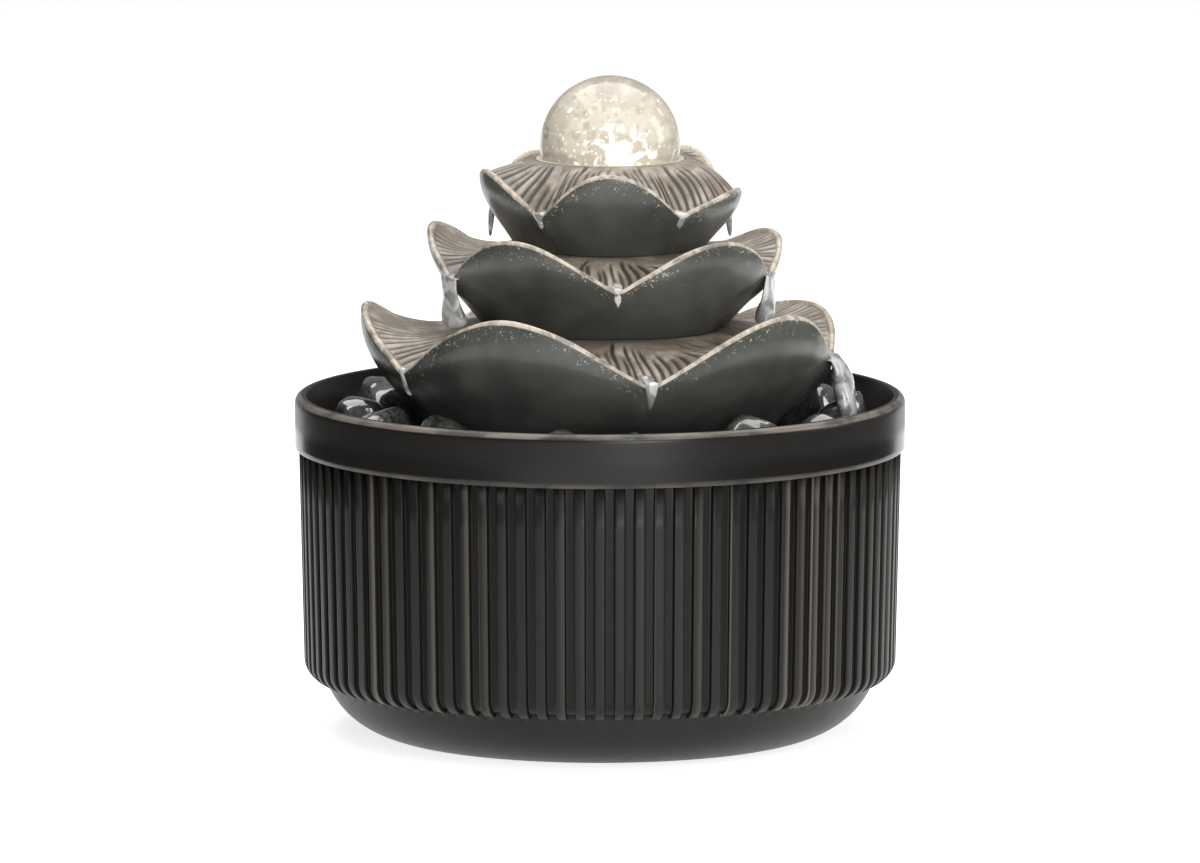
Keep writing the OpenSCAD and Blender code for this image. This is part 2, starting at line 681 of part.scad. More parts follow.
module pump_motor() {
    corner = 5;
    color("#1a1b1c") difference() {
        translate([riser_x, motor_y, pump_z]) rounded_box(pump_w, pump_l, pump_h, corner);
        along_y([riser_x, motor_y - through, pump_mid_z])
            cylinder(h = well_l + through, r = rotor_r + well_gap);
        along_y([riser_x, motor_y + well_l - through, pump_mid_z])
            cylinder(h = bush_t + through, r = bush_r);
        // Groove of the cover's seal
        along_y([riser_x, motor_y - through, pump_mid_z]) difference() {
            cylinder(h = through + 1.7, r = chamber_r - 0.4);
            cylinder(h = through + 1.8, r = chamber_r - 2.2);
        }
    }
}

module cover_seal() {
    thick_r = 0.8;
    color("#7a2f22") along_y([riser_x, motor_y + thick_r, pump_mid_z])
        rotate_extrude() translate([chamber_r - 1.3, 0]) circle(thick_r, $fn = small_fn);
}

module pump_cover() {
    eye_r = 6.5;
    color("#202123") difference() {
        union() {
            difference() {
                union() {
                    along_y([riser_x, chamber_front_y, pump_mid_z])
                        cylinder(h = motor_y - chamber_front_y, r = chamber_r);
                    at_xy([riser_x, 0], pump_mid_z)
                        cylinder(h = spigot_top_z - pump_mid_z, r = spigot_r);
                }
                along_y([riser_x, chamber_front_y + chamber_wall, pump_mid_z])
                    cylinder(h = motor_y - chamber_front_y, r = chamber_r - chamber_wall);
                along_y([riser_x, chamber_front_y - through, pump_mid_z])
                    cylinder(h = chamber_wall + 2 * through, r = eye_r);
            }
            // Front bearing, held by three spokes across the eye
            along_y([riser_x, chamber_front_y, pump_mid_z]) {
                cylinder(h = chamber_wall, r = bush_r + 1, $fn = small_fn);
                for (a = [0, 120, 240]) rotate([0, 0, a])
                    translate([bush_r, -0.7, 0]) cube([eye_r - bush_r + 1, 1.4, chamber_wall]);
            }
        }
        along_y([riser_x, chamber_front_y - through, pump_mid_z])
            cylinder(h = chamber_wall + 2 * through, r = bush_r, $fn = small_fn);
        at_xy([riser_x, 0], pump_mid_z + chamber_r - chamber_wall - 2)
            cylinder(h = 60, r = spigot_bore_r);
    }
}

module pump_shaft() {
    color("#e8e4da") along_y([riser_x, chamber_front_y, pump_mid_z])
        cylinder(h = motor_y + well_l + bush_t - chamber_front_y, r = shaft_r, $fn = small_fn);
}

module shaft_bushes() {
    color("#3a3a3a") for (y = [chamber_front_y, motor_y + well_l]) difference() {
        along_y([riser_x, y, pump_mid_z]) cylinder(h = bush_t, r = bush_r, $fn = small_fn);
        along_y([riser_x, y - through, pump_mid_z])
            cylinder(h = bush_t + 2 * through, r = shaft_r, $fn = small_fn);
    }
}

module rotor_magnet() {
    color("#4b4b4e") difference() {
        along_y([riser_x, motor_y + 3, pump_mid_z]) cylinder(h = rotor_l, r = rotor_r);
        along_y([riser_x, motor_y, pump_mid_z])
            cylinder(h = rotor_l + 10, r = shaft_r + fit_gap, $fn = small_fn);
    }
}

module impeller_wheel() {
    hub_r = 4.5;
    blades = 6;
    back_y = motor_y + 3;
    blade_y = chamber_front_y + chamber_wall + 1.2;
    color("#d7d7d2") difference() {
        union() {
            along_y([riser_x, blade_y, pump_mid_z]) cylinder(h = back_y - blade_y, r = hub_r);
            along_y([riser_x, motor_y - 2, pump_mid_z]) cylinder(h = 1.2, r = impeller_d / 2 - 1);
            along_y([riser_x, blade_y, pump_mid_z]) for (k = [0:blades - 1])
                rotate([0, 0, 360 * k / blades]) translate([hub_r - sink, -0.6, 0])
                    cube([impeller_d / 2 - hub_r - 1, 1.2, motor_y - 2 - blade_y + 0.6]);
        }
        along_y([riser_x, blade_y - through, pump_mid_z])
            cylinder(h = 40, r = shaft_r + fit_gap, $fn = small_fn);
    }
}

module intake_slots(y, depth, turn) {
    along_y([riser_x, y, pump_mid_z]) rotate([0, 0, turn]) for (x = [-1, 1])
        translate([x * slot_x - slot_w / 2, -slot_h / 2, 0]) cube([slot_w, slot_h, depth]);
}

module intake_grille() {
    inner = grille_w - 2 * grille_wall;
    side_slots = 4;
    color("#202123") {
        difference() {
            translate([riser_x, grille_front_y, pump_mid_z - grille_w / 2])
                rounded_box(grille_w, grille_d, grille_w, 2);
            translate([riser_x - inner / 2, grille_front_y + grille_wall, pump_mid_z - inner / 2])
                cube([inner, grille_d, inner]);
            intake_slots(grille_front_y - through, grille_wall + 2 * through, 0);
            for (k = [0:side_slots - 1])
                translate([riser_x - grille_w, grille_front_y + 5,
                    pump_mid_z - 11.5 + k * 6.5]) cube([2 * grille_w, 5, 3]);
        }
        // Post and head that hold the flow dial
        along_y([riser_x, grille_front_y - dial_t - 1.4, pump_mid_z])
            cylinder(h = dial_t + 1.4 + sink, r = dial_post_r, $fn = small_fn);
        along_y([riser_x, grille_front_y - dial_t - 1.4, pump_mid_z])
            cylinder(h = 1.2, r = dial_post_r + 1, $fn = small_fn);
    }
}

module intake_sponge() {
    side = grille_w - 2 * grille_wall - 1;
    color("#3d4340") difference() {
        translate([riser_x - side / 2, grille_front_y + grille_wall + 0.5, pump_mid_z - side / 2])
            cube([side, grille_d - grille_wall - 1, side]);
        along_y([riser_x, grille_front_y, pump_mid_z]) cylinder(h = 3 + grille_wall, r = 5);
    }
}

module flow_dial() {
    grip = 1.2;
    color("#8c9296") difference() {
        union() {
            along_y([riser_x, grille_front_y - dial_t, pump_mid_z])
                cylinder(h = dial_t - 0.15, r = dial_r);
            translate([riser_x - grip / 2, grille_front_y - dial_t - 2, pump_mid_z + dial_post_r + 1.6])
                cube([grip, 2 + sink, dial_r - dial_post_r - 2.4]);
        }
        along_y([riser_x, grille_front_y - dial_t - 5, pump_mid_z])
            cylinder(h = 20, r = dial_post_r + fit_gap, $fn = small_fn);
        intake_slots(grille_front_y - dial_t - through, dial_t + 2 * through, 0);
    }
}

module suction_cups() {
    inset = 9;
    color("#2a2a2a") for (x = [-1, 1], y = [motor_y + inset, motor_end_y - inset])
        translate([riser_x + x * (pump_w / 2 - inset), y, floor_z])
            rotate_extrude($fn = small_fn) polygon([[0, 1.6], [cup_r - 1.6, 0], [cup_r, 0],
                [cup_r, 0.5], [3, 2.6], [3, cup_h], [0, cup_h]]);
}

module lamp_socket() {
    color("#1c1c1c") at_xy([riser_x, plug_y], socket_z) difference() {
        cylinder(h = socket_h, r = socket_r, $fn = small_fn);
        translate([0, 0, socket_floor]) cylinder(h = socket_h, r = socket_bore_r, $fn = small_fn);
    }
}

module lamp_contacts() {
    color("gold") for (x = [-1, 1]) at_xy([riser_x + x * contact_x, plug_y], socket_z + socket_floor)
        cylinder(h = 6, r = contact_r, $fn = small_fn);
}

// ---- Tray ------------------------------------------------------------------------------

module stone_tray() {
    hole_r = 25;
    slots = 24;
    slot_l = 18;
    slot_wide = 3;
    guide_r = tier_base_r[0] - tier_crease[0] - tier_wall[0] - 0.6;
    tray_r = tray_room_r - loose_gap;
    tier_x = riser_x + tier_shift[0];
    color("#262725") difference() {
        union() {
            translate([0, 0, ledge_z]) cylinder(h = tray_t, r = tray_r);
            // Ring that centres the sculpture, and a stiffening ring below
            translate([tier_x, 0, tray_z - sink]) cylinder(h = 3 + sink, r = guide_r);
            translate([0, 0, ledge_z - 4]) cylinder(h = 4 + sink, r = guide_r + 6);
        }
        at_xy([riser_x, 0], ledge_z - 10) cylinder(h = 30, r = hole_r);
        at_xy([tier_x, 0], tray_z) cylinder(h = 20, r = guide_r - 2);
        translate([0, 0, ledge_z - 10]) cylinder(h = 10, r = guide_r + 3.5);
        for (k = [0:slots - 1]) rotate([0, 0, 360 * k / slots])
            translate([tray_r - 8 - slot_l, -slot_wide / 2, ledge_z - through])
                cube([slot_l, slot_wide, tray_t + 2 * through]);
    }
}

// ---- Sculpture -------------------------------------------------------------------------

module leaf_tier_bottom() { color("#4a4c49") leaf_tier(0, tier_hollow(0)); }
module leaf_tier_middle() { color("#5a5a55") leaf_tier(1, tier_hollow(1)); }
module leaf_tier_top() { color("#6b6861") leaf_tier(2, top_well()); }

module riser_tube() {
    color("#b9c0c2") at_xy([riser_x, 0], riser_z) difference() {
        cylinder(h = riser_top_z - riser_z, r = riser_r);
        translate([0, 0, -through])
            cylinder(h = riser_top_z - riser_z + 2 * through, r = riser_bore / 2);
    }
}

// Holds the riser upright in the bottom tier, with a notch for the lamp's lead
module riser_collar() {
    z = tier_z[0] + tier_seat_h[0] - tier_roof_t[0] - collar_t;
    color("#d0d0cc") difference() {
        at_xy([riser_x, 0], z) cylinder(h = collar_t, r = tier_bore_r + 3);
        at_xy([riser_x, 0], z - through) cylinder(h = 10, r = riser_r);
        translate([riser_x - lead_r - 0.4, riser_r - 1, z - through]) cube([2 * lead_r + 0.8, 20, 10]);
    }
}

module ball_cup() {
    color("#f4ead2") difference() {
        union() {
            translate([ball_x, 0, 0]) rotate_extrude() polygon([
                [0, cup_floor_z], [cup_foot_r, cup_floor_z], [cup_step_r, cup_step_z],
                [cup_out_r, cup_step_z], [cup_out_r, cup_edge_z], [0, cup_edge_z]]);
            at_xy([riser_x, 0], cup_floor_z - cup_collar_h)
                cylinder(h = cup_collar_h + sink, r = cup_collar_r);
        }
        translate([ball_x, 0, ball_z]) sphere(cup_in_r);
        at_xy([riser_x, 0], cup_floor_z - 20) cylinder(h = 20, r = riser_r);
        at_xy([riser_x, 0], cup_floor_z - 20) cylinder(h = 40, r = jet_r);
    }
}

module lamp_ring(r, z, h) {
    at_xy([riser_x, 0], z) difference() {
        cylinder(h = h, r = r);
        translate([0, 0, -through]) cylinder(h = h + 2 * through, r = lamp_board_in_r);
    }
}

module lamp_board() { color("#e9e9e4") lamp_ring(lamp_board_r, lamp_z, lamp_board_t); }

module lamp_chips() {
    chips = 6;
    size = 3.2;
    color("#ffe9a8") for (k = [0:chips - 1]) rotate_about_riser(360 * k / chips + 30)
        translate([(lamp_board_in_r + lamp_board_r) / 2 - size / 2, -size / 2, lamp_z + lamp_board_t])
            cube([size, size, lamp_chip_h]);
}

module rotate_about_riser(a) { translate([riser_x, 0, 0]) rotate([0, 0, a]) children(); }

module lamp_lens() {
    color("#f1eee2") lamp_ring(lamp_board_r, lamp_z + lamp_board_t + lamp_chip_h, lamp_lens_t);
}

module lamp_lead() { color("#141414") lead(lamp_route, lead_r); }

module lamp_plug() {
    nose_h = socket_h - socket_floor - 1;
    color("#1c1c1c") at_xy([riser_x, plug_y], socket_mouth_z) difference() {
        union() {
            translate([0, 0, -nose_h]) cylinder(h = nose_h + sink, r = plug_nose_r, $fn = small_fn);
            cylinder(h = plug_body_h, r = plug_body_r, $fn = small_fn);
            translate([0, 0, plug_body_h])
                cylinder(h = plug_tail_h, r1 = plug_body_r - 1.2, r2 = plug_tail_r);
        }
        for (x = [-1, 1]) translate([x * contact_x, 0, -nose_h - through])
            cylinder(h = 8, r = contact_r + fit_gap, $fn = small_fn);
    }
}

module glass_ball() { color("#f6edd8") translate([ball_x, 0, ball_z]) sphere(ball_r); }

// ---- Drawing ---------------------------------------------------------------------------

outer_pot();
basin();
base_plate();
base_screws();
foot_pads();
inlet_socket();
inlet_pin();
inlet_nut();
inlet_boot();
control_board();
board_terminals();
floor_grommet();
inlet_lead();
pump_lead();
lamp_supply_lead();
pump_motor();
pump_cover();
cover_seal();
pump_shaft();
shaft_bushes();
rotor_magnet();
impeller_wheel();
intake_grille();
intake_sponge();
flow_dial();
suction_cups();
lamp_socket();
lamp_contacts();
stone_tray();
leaf_tier_bottom();
leaf_tier_middle();
leaf_tier_top();
riser_tube();
riser_collar();
ball_cup();
lamp_board();
lamp_chips();
lamp_lens();
lamp_lead();
lamp_plug();
glass_ball();
for (i = [1:stone_count]) stone(i);
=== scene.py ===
"""Tabletop water fountain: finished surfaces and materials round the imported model.

Everything is in metres, +Z is up and the front faces -Y. Each piece's object sits at the
origin, and its place is in its mesh.
"""

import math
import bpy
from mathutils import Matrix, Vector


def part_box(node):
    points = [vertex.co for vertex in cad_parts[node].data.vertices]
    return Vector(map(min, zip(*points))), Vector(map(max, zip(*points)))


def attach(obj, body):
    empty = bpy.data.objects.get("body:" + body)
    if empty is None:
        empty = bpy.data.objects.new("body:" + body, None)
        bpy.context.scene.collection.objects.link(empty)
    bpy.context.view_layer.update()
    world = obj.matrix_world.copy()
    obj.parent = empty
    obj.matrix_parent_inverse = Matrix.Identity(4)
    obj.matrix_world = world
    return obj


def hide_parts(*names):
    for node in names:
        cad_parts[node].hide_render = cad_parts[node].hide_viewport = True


bl_info = {
    "name": "Tabletop water fountain",
    "version": (1, 0, 0),
    "blender": (4, 5, 0),
    "location": "View3D > Sidebar > Fountain",
    "description": "Ribbed bowl, wet stones, leaf tiers and a lit glass ball",
    "category": "Object",
}

import bmesh
import bpy
import numpy as np
from bpy.props import (
    FloatProperty, FloatVectorProperty, IntProperty, IntVectorProperty, PointerProperty
)
from mathutils import Vector

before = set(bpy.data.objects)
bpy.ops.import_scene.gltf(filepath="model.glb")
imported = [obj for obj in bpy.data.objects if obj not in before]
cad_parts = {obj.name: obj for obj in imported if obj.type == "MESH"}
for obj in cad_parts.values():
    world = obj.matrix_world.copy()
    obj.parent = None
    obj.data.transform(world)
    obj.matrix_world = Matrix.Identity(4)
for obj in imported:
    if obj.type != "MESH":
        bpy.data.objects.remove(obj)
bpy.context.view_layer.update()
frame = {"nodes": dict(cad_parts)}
MM = 0.001
MERGE_DISTANCE = 2e-6
PETALS = 5
SPOUT_OUT, SPOUT_DOWN = 1.4, 0.6  # How far a notch's spout runs out and dips, in millimetres
TIERS = ("leaf_tier_bottom", "leaf_tier_middle", "leaf_tier_top")
STONES = sorted(name for name in frame["nodes"] if name.startswith("stone_") and name[6:].isdigit())


# ---- Sizes and colours -------------------------------------------------------------------


def colour(name, description, value):
    """A colour that a user can change, in linear values."""
    return FloatVectorProperty(
        name=name, description=description, subtype="COLOR", size=3, min=0, max=1, default=value
    )


def length(name, description, value):
    """A length that a user can change, in metres."""
    return FloatProperty(name=name, description=description, unit="LENGTH", min=0, default=value)


def three(name, description, values):
    """One length for each of the three tiers, from the bottom up."""
    return FloatVectorProperty(
        name=name, description=description, unit="LENGTH", size=3, default=values
    )


class BowlSettings(bpy.types.PropertyGroup):
    """Sizes and colours of the ribbed pot and its rim."""

    ribs: IntProperty(name="Ribs", description="Ribs round the pot", default=96, min=12)
    rib_share: FloatProperty(
        name="Rib share", description="Share of each pitch that stands out", default=0.5
    )
    rib_depth: length("Rib depth", "Depth of the grooves", 1.6 * MM)
    rib_draft: length("Draft", "How much the ribbed wall leans in at the bottom", 1.5 * MM)
    overhang: length("Overhang", "How far the rim stands out past the ribs", 1.3 * MM)
    shoulder: length("Shoulder", "Radius that the ribs roll over", 6.9 * MM)
    foot_height: length("Foot height", "Height of the smooth foot", 17.6 * MM)
    foot_inset: length("Foot inset", "How far the foot runs in", 17.8 * MM)
    foot_curve: length("Foot curve", "Radius of the foot's profile", 27 * MM)
    rim_height: length("Rim height", "Height of the smooth band", 17.5 * MM)
    rim_lip: length("Rim lip", "Thickness of the rim at its top", 3.8 * MM)
    rim_corner: length("Rim corner", "Roundness of the rim's outer edge", 2.6 * MM)
    pot_colour: colour("Pot", "Charcoal of the pot", (0.0105, 0.0099, 0.0090))
    rim_colour: colour("Rim", "Charcoal of the rim", (0.0100, 0.0092, 0.0082))


class LeafSettings(bpy.types.PropertyGroup):
    """Sizes and colours of the three leaf castings."""

    base_r: three("Foot", "Radius of each tier's foot", (53 * MM, 41 * MM, 31 * MM))
    tip_r: three("Tip", "Radius at a petal's tip", (79.5 * MM, 59.5 * MM, 43.5 * MM))
    notch_r: three("Notch", "Radius at a notch", (74 * MM, 54 * MM, 38.5 * MM))
    seat_h: three("Seat height", "Height of the flat seat", (45 * MM, 26 * MM, 29 * MM))
    seat_r: three("Seat", "Radius of the seat", (44 * MM, 34 * MM, 24.6 * MM))
    tip_h: three("Tip height", "Height of a petal's tip", (53 * MM, 32.5 * MM, 26.5 * MM))
    notch_h: three("Notch height", "Height of a notch", (35.5 * MM, 18.5 * MM, 14.5 * MM))
    crease: three("Crease", "Depth of the fold between petals", (3.5 * MM, 3 * MM, 2.2 * MM))
    dip: three("Dip", "Hollow of a petal's upper face", (2.5 * MM, 2 * MM, 0.5 * MM))
    shift: three("Shift", "Sideways shift from the riser", (-1 * MM, 0, 1.3 * MM))
    turn: FloatVectorProperty(
        name="Turn",
        description="Azimuth of each tier's first notch",
        unit="ROTATION",
        size=3,
        default=(math.radians(12), math.radians(4), math.radians(36)),
    )
    belly: FloatVectorProperty(
        name="Belly", description="How full each petal is", size=3, default=(0.25, 0.8, 0.8)
    )
    lip: length("Lip", "Roundness of a petal's edge", 1.1 * MM)
    grooves: IntVectorProperty(
        name="Grooves", description="Grooves round each upper face", size=3, default=(150, 116, 84)
    )
    groove_depth: length("Groove depth", "Depth of the grooves", 0.75 * MM)
    dark: colour("Leaf", "Dark green-grey of the outer faces", (0.068, 0.072, 0.063))
    pale: colour("Upper face", "Taupe of the upper faces", (0.470, 0.408, 0.335))
    cream: colour("Edge", "Cream of the brushed edges", (0.62, 0.54, 0.44))


class StoneSettings(bpy.types.PropertyGroup):
    """Shape and colour of the loose stones."""

    facets: IntProperty(name="Facets", description="Broken faces on a stone", default=15, min=6)
    dark: colour("Stone", "Darkest tone of the wet stones", (0.020, 0.021, 0.019))
    light: colour("Vein", "Lightest tone of the wet stones", (0.10, 0.105, 0.095))


class BallSettings(bpy.types.PropertyGroup):
    """Colours of the ball and the light in it."""

    bubbles: IntProperty(name="Bubbles", description="Bubbles in the glass", default=240, min=0)
    glass: colour("Glass", "Tint of the glass", (0.66, 0.60, 0.50))
    glow: colour("Glow", "Colour of the lamp's light", (1.0, 0.95, 0.85))


class StageSettings(bpy.types.PropertyGroup):
    """Where the camera stands."""

    elevation: FloatProperty(
        name="Elevation",
        description="Height angle of the camera",
        unit="ROTATION",
        default=math.radians(7.94),
    )
    distance: length("Distance", "Distance from camera to the aim point", 3.629)
    aim: length("Aim height", "Height of the aim point", 98.7 * MM)
    lens: FloatProperty(name="Lens", description="Focal length in millimetres", default=332)


# ---- Meshes ------------------------------------------------------------------------------


def grid_faces(rows, cols, wrap_rows=False):
    """Quads of a grid whose columns close into a ring, and whose rows may close too."""
    r = np.arange(rows if wrap_rows else rows - 1)
    c = np.arange(cols)
    r, c = np.meshgrid(r, c, indexing="ij")
    below, beside = (r + 1) % rows, (c + 1) % cols
    quads = [r * cols + c, r * cols + beside, below * cols + beside, below * cols + c]
    return np.stack(quads, -1).reshape(-1, 4)


def outward(points, faces):
    """The faces, turned so that a closed shape's signed volume is positive."""
    a, b, c, d = (points[faces[:, k]] for k in (0, 1, 2, -1))
    volume = (np.cross(a, b) * c).sum() + (np.cross(a, c) * d).sum()
    return faces if volume > 0 else faces[:, ::-1]


def make_piece(name, points, faces, body, replaces=(), attributes=None, weld=True):
    """A smooth mesh object from arrays of points and faces, riding on a body."""
    points = np.asarray(points, float).reshape(-1, 3)
    mesh = bpy.data.meshes.new(name)
    mesh.from_pydata(points.tolist(), [], outward(points, faces).tolist())
    for key, values in (attributes or {}).items():
        layer = mesh.attributes.new(key, "FLOAT", "POINT")
        layer.data.foreach_set("value", np.asarray(values, np.float32).ravel())
    if weld:
        join_doubles(mesh)
    mesh.shade_smooth()
    piece = bpy.data.objects.new(name, mesh)
    bpy.context.scene.collection.objects.link(piece)
    if replaces:
        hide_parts(*replaces)
    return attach(piece, body)


def join_doubles(mesh):
    """Closes seams and poles by merging points that lie on one another."""
    work = bmesh.new()
    work.from_mesh(mesh)
    bmesh.ops.remove_doubles(work, verts=work.verts, dist=MERGE_DISTANCE)
    work.to_mesh(mesh)
    work.free()


def ring(radii, heights, angles, centre=(0, 0)):
    """Points at each radius and height, carried round the upright axis through centre.

    Azimuth 0 is the front, -Y, and a quarter turn is +X.
    """
    x = centre[0] + radii * np.sin(angles)
    y = centre[1] - radii * np.cos(angles)
    return np.stack([x, y, np.broadcast_to(heights, x.shape)], -1)


def circle_arc(centre, radius, start, stop, count):
    """Points on an arc in the plane of radius and height, with angles in degrees."""
    t = np.radians(np.linspace(start, stop, count))
    return np.stack([centre[0] + radius * np.cos(t), centre[1] + radius * np.sin(t)], -1)


def sphere(rows, cols):
    """Points and faces of a unit sphere on a grid of latitude and longitude."""
    up = np.linspace(-1, 1, rows)[:, None] * np.pi / 2
    turn = np.linspace(0, 2 * np.pi, cols, endpoint=False)
    points = [np.cos(up) * np.cos(turn), np.cos(up) * np.sin(turn), np.sin(up) + 0 * turn]
    return np.stack(points, -1).reshape(-1, 3), grid_faces(rows, cols)


def smooth(u):
    """Rises from 0 to 1 with level ends."""
    u = np.clip(u, 0, 1)
    return u * u * (3 - 2 * u)


def waves(points, scale, seed, count=7):
    """Smooth three-dimensional noise from -1 to 1: a mean of sine waves in seeded directions."""
    rng = np.random.default_rng(seed)
    total = 0
    for _ in range(count):
        direction = rng.normal(size=3)
        direction *= scale * rng.uniform(0.6, 1.6) / np.linalg.norm(direction)
        total = total + np.sin(points @ direction + rng.uniform(0, 2 * np.pi))
    return total / count * 1.6


def shade(tone, factor):
    """A colour made lighter or darker; factor is one number, or one for each channel."""
    factors = factor if isinstance(factor, tuple) else (factor,) * 3
    return tuple(min(1, c * k) for c, k in zip(tone, factors))


def cut(piece, tool_points, tool_faces):
    """Cuts the closed tool shape out of a piece."""
    mesh = bpy.data.meshes.new("tool")
    mesh.from_pydata(tool_points.tolist(), [], outward(tool_points, tool_faces).tolist())
    join_doubles(mesh)
    tool = bpy.data.objects.new("tool", mesh)
    bpy.context.scene.collection.objects.link(tool)
    modifier = piece.modifiers.new("cut", "BOOLEAN")
    modifier.operation = "DIFFERENCE"
    modifier.solver = "EXACT"
    modifier.object = tool
    graph = bpy.context.evaluated_depsgraph_get()
    result = bpy.data.meshes.new_from_object(piece.evaluated_get(graph))
    piece.modifiers.clear()
    piece.data = result
    bpy.data.objects.remove(tool)
    return piece


def cylinder(start, axis, radius, height, count=64):
    """A closed round bar as points and faces: four rings, of which the end ones are shrunk."""
    t = np.linspace(0, 2 * np.pi, count, endpoint=False)
    side = np.array([0, 0, 1.0]) if abs(axis[2]) < 0.9 else np.array([1.0, 0, 0])
    u = np.cross(axis, side)
    v = np.cross(axis, u)
    rim = radius * (np.cos(t)[:, None] * u + np.sin(t)[:, None] * v)
    base, top = np.array(start, float), np.array(start, float) + height * np.array(axis, float)
    rows = [base + 0 * rim, base + rim, top + rim, top + 0 * rim]
    return np.concatenate(rows), grid_faces(4, count)


# ---- Shaders -----------------------------------------------------------------------------


class Value:
    """An output of a shader node; arithmetic on it adds Math nodes."""

    def __init__(self, finish, socket):
        self.finish = finish
        self.socket = socket

    def math(self, operation, *values):
        """A Math node on the given values."""
        return self.finish.node("ShaderNodeMath", {"operation": operation}, values)

    def __add__(self, other):
        return self.math("ADD", self, other)

    def __sub__(self, other):
        return self.math("SUBTRACT", self, other)

    def __rsub__(self, other):
        return self.math("SUBTRACT", other, self)

    def __mul__(self, other):
        return self.math("MULTIPLY", self, other)

    def __abs__(self):
        return self.math("ABSOLUTE", self)

    __radd__ = __add__
    __rmul__ = __mul__

    def limit(self):
        """This value, held between 0 and 1."""
        return self.finish.node("ShaderNodeClamp", {}, {"Value": self})

    def above(self, low, high):
        """0 below low and 1 above high, with a smooth rise between."""
        settings = {"interpolation_type": "SMOOTHSTEP"}
        inputs = {"Value": self, "From Min": low, "From Max": high}
        return self.finish.node("ShaderNodeMapRange", settings, inputs)


class Finish:
    """A material with one Principled shader, built up by code."""

    def __init__(self, name, **constants):
        self.material = bpy.data.materials.new(name)
        self.material.use_nodes = True
        self.tree = self.material.node_tree
        self.shader = next(n for n in self.tree.nodes if n.type == "BSDF_PRINCIPLED")
        self.position = self.node("ShaderNodeTexCoord", out="Object")
        for key, value in constants.items():
            self.shader.inputs[key.replace("_", " ")].default_value = value

    def node(self, kind, settings=None, inputs=(), out=0):
        """Adds a node: its settings first, then its sockets, as values or links."""
        node = self.tree.nodes.new(kind)
        for key, value in (settings or {}).items():
            setattr(node, key, value)
        pairs = inputs.items() if isinstance(inputs, dict) else enumerate(inputs)
        for key, value in pairs:
            self.feed(node.inputs[key], value)
        return Value(self, node.outputs[out])

    def feed(self, socket, value):
        """Links a Value to a socket, or sets the socket to a plain number or colour."""
        if isinstance(value, Value):
            self.tree.links.new(value.socket, socket)
        elif socket.type == "RGBA" and len(value) == 3:
            socket.default_value = (*value, 1)
        else:
            socket.default_value = value

    def put(self, **links):
        """Feeds values that change over the surface to the shader."""
        for key, value in links.items():
            self.feed(self.shader.inputs[key.replace("_", " ")], value)
        return self

    def place(self, scale=(1, 1, 1), rotation=(0, 0, 0)):
        """Object coordinates, stretched and turned."""
        inputs = {"Vector": self.position, "Scale": scale, "Rotation": rotation}
        return self.node("ShaderNodeMapping", {}, inputs)

    def noise(self, scale, detail=3, rough=0.55, at=None, distortion=0):
        """Cloudy noise from 0 to 1, with about scale lumps to a metre."""
        inputs = {
            "Vector": at or self.position, "Scale": scale, "Detail": detail, "Roughness": rough,
            "Distortion": distortion,
        }
        return self.node("ShaderNodeTexNoise", {}, inputs)

    def cells(self, scale, feature="F1"):
        """The distance to the middle or the edge of scattered cells."""
        inputs = {"Vector": self.position, "Scale": scale}
        return self.node("ShaderNodeTexVoronoi", {"feature": feature}, inputs)

    def attribute(self, name):
        """A mask that the mesh carries."""
        return self.node("ShaderNodeAttribute", {"attribute_name": name}, out="Fac")

    def mix(self, factor, a, b):
        """Colour a where factor is 0 and colour b where it is 1."""
        # A Mix node keeps its colour sockets after those for numbers and vectors
        sockets = {0: factor, 6: a, 7: b}
        return self.node("ShaderNodeMix", {"data_type": "RGBA"}, sockets, out=2)

    def bump(self, height, distance, strength=1.0, normal=None):
        """A normal that follows height, on top of another normal if there is one."""
        inputs = {"Strength": strength, "Distance": distance, "Height": height}
        if normal:
            inputs["Normal"] = normal
        return self.node("ShaderNodeBump", {}, inputs)


def cover(piece, finish):
    """Gives a piece or a CAD node one material, in every slot it has."""
    if piece.material_slots:
        for slot in piece.material_slots:
            slot.material = finish.material
    else:
        piece.data.materials.append(finish.material)


def moulded(name, tone, rough):
    """Moulded plastic: faint mottling, fine grain, and roughness that varies a little."""
    finish = Finish(name, Specular_IOR_Level=0.5)
    cloud = finish.noise(28, 4)
    fine = finish.noise(1800, 2)
    finish.put(
        Base_Color=finish.mix(cloud, shade(tone, 0.75), shade(tone, 1.25)),
        Roughness=rough + 0.12 * (cloud - 0.5) + 0.06 * (fine - 0.5),
        Normal=finish.bump(fine, 0.03 * MM),
    )
    return finish


def metal(name, tone, rough=0.3):
    """Turned metal with fine scratches and dull patches."""
    finish = Finish(name, Metallic=1.0)
    brushed = finish.noise(900, 3, at=finish.place((1, 1, 0.08)))
    stain = finish.noise(120, 3)
    finish.put(
        Base_Color=finish.mix(stain, shade(tone, 0.8), tone),
        Roughness=rough + 0.2 * (brushed - 0.5) + 0.1 * stain,
        Normal=finish.bump(brushed, 0.02 * MM),
    )
    return finish


def glow(name, s, strength):
    """A lit surface, mottled between the lamp's colour and white."""
    finish = Finish(name, Emission_Strength=strength, Roughness=0.3)
    cloud = finish.noise(260, 3)
    finish.put(
        Base_Color=finish.mix(cloud, s.glass, s.glow),
        Emission_Color=finish.mix(cloud, s.glow, (1.0, 0.97, 0.9)),
    )
    return finish


# ---- Pieces ------------------------------------------------------------------------------


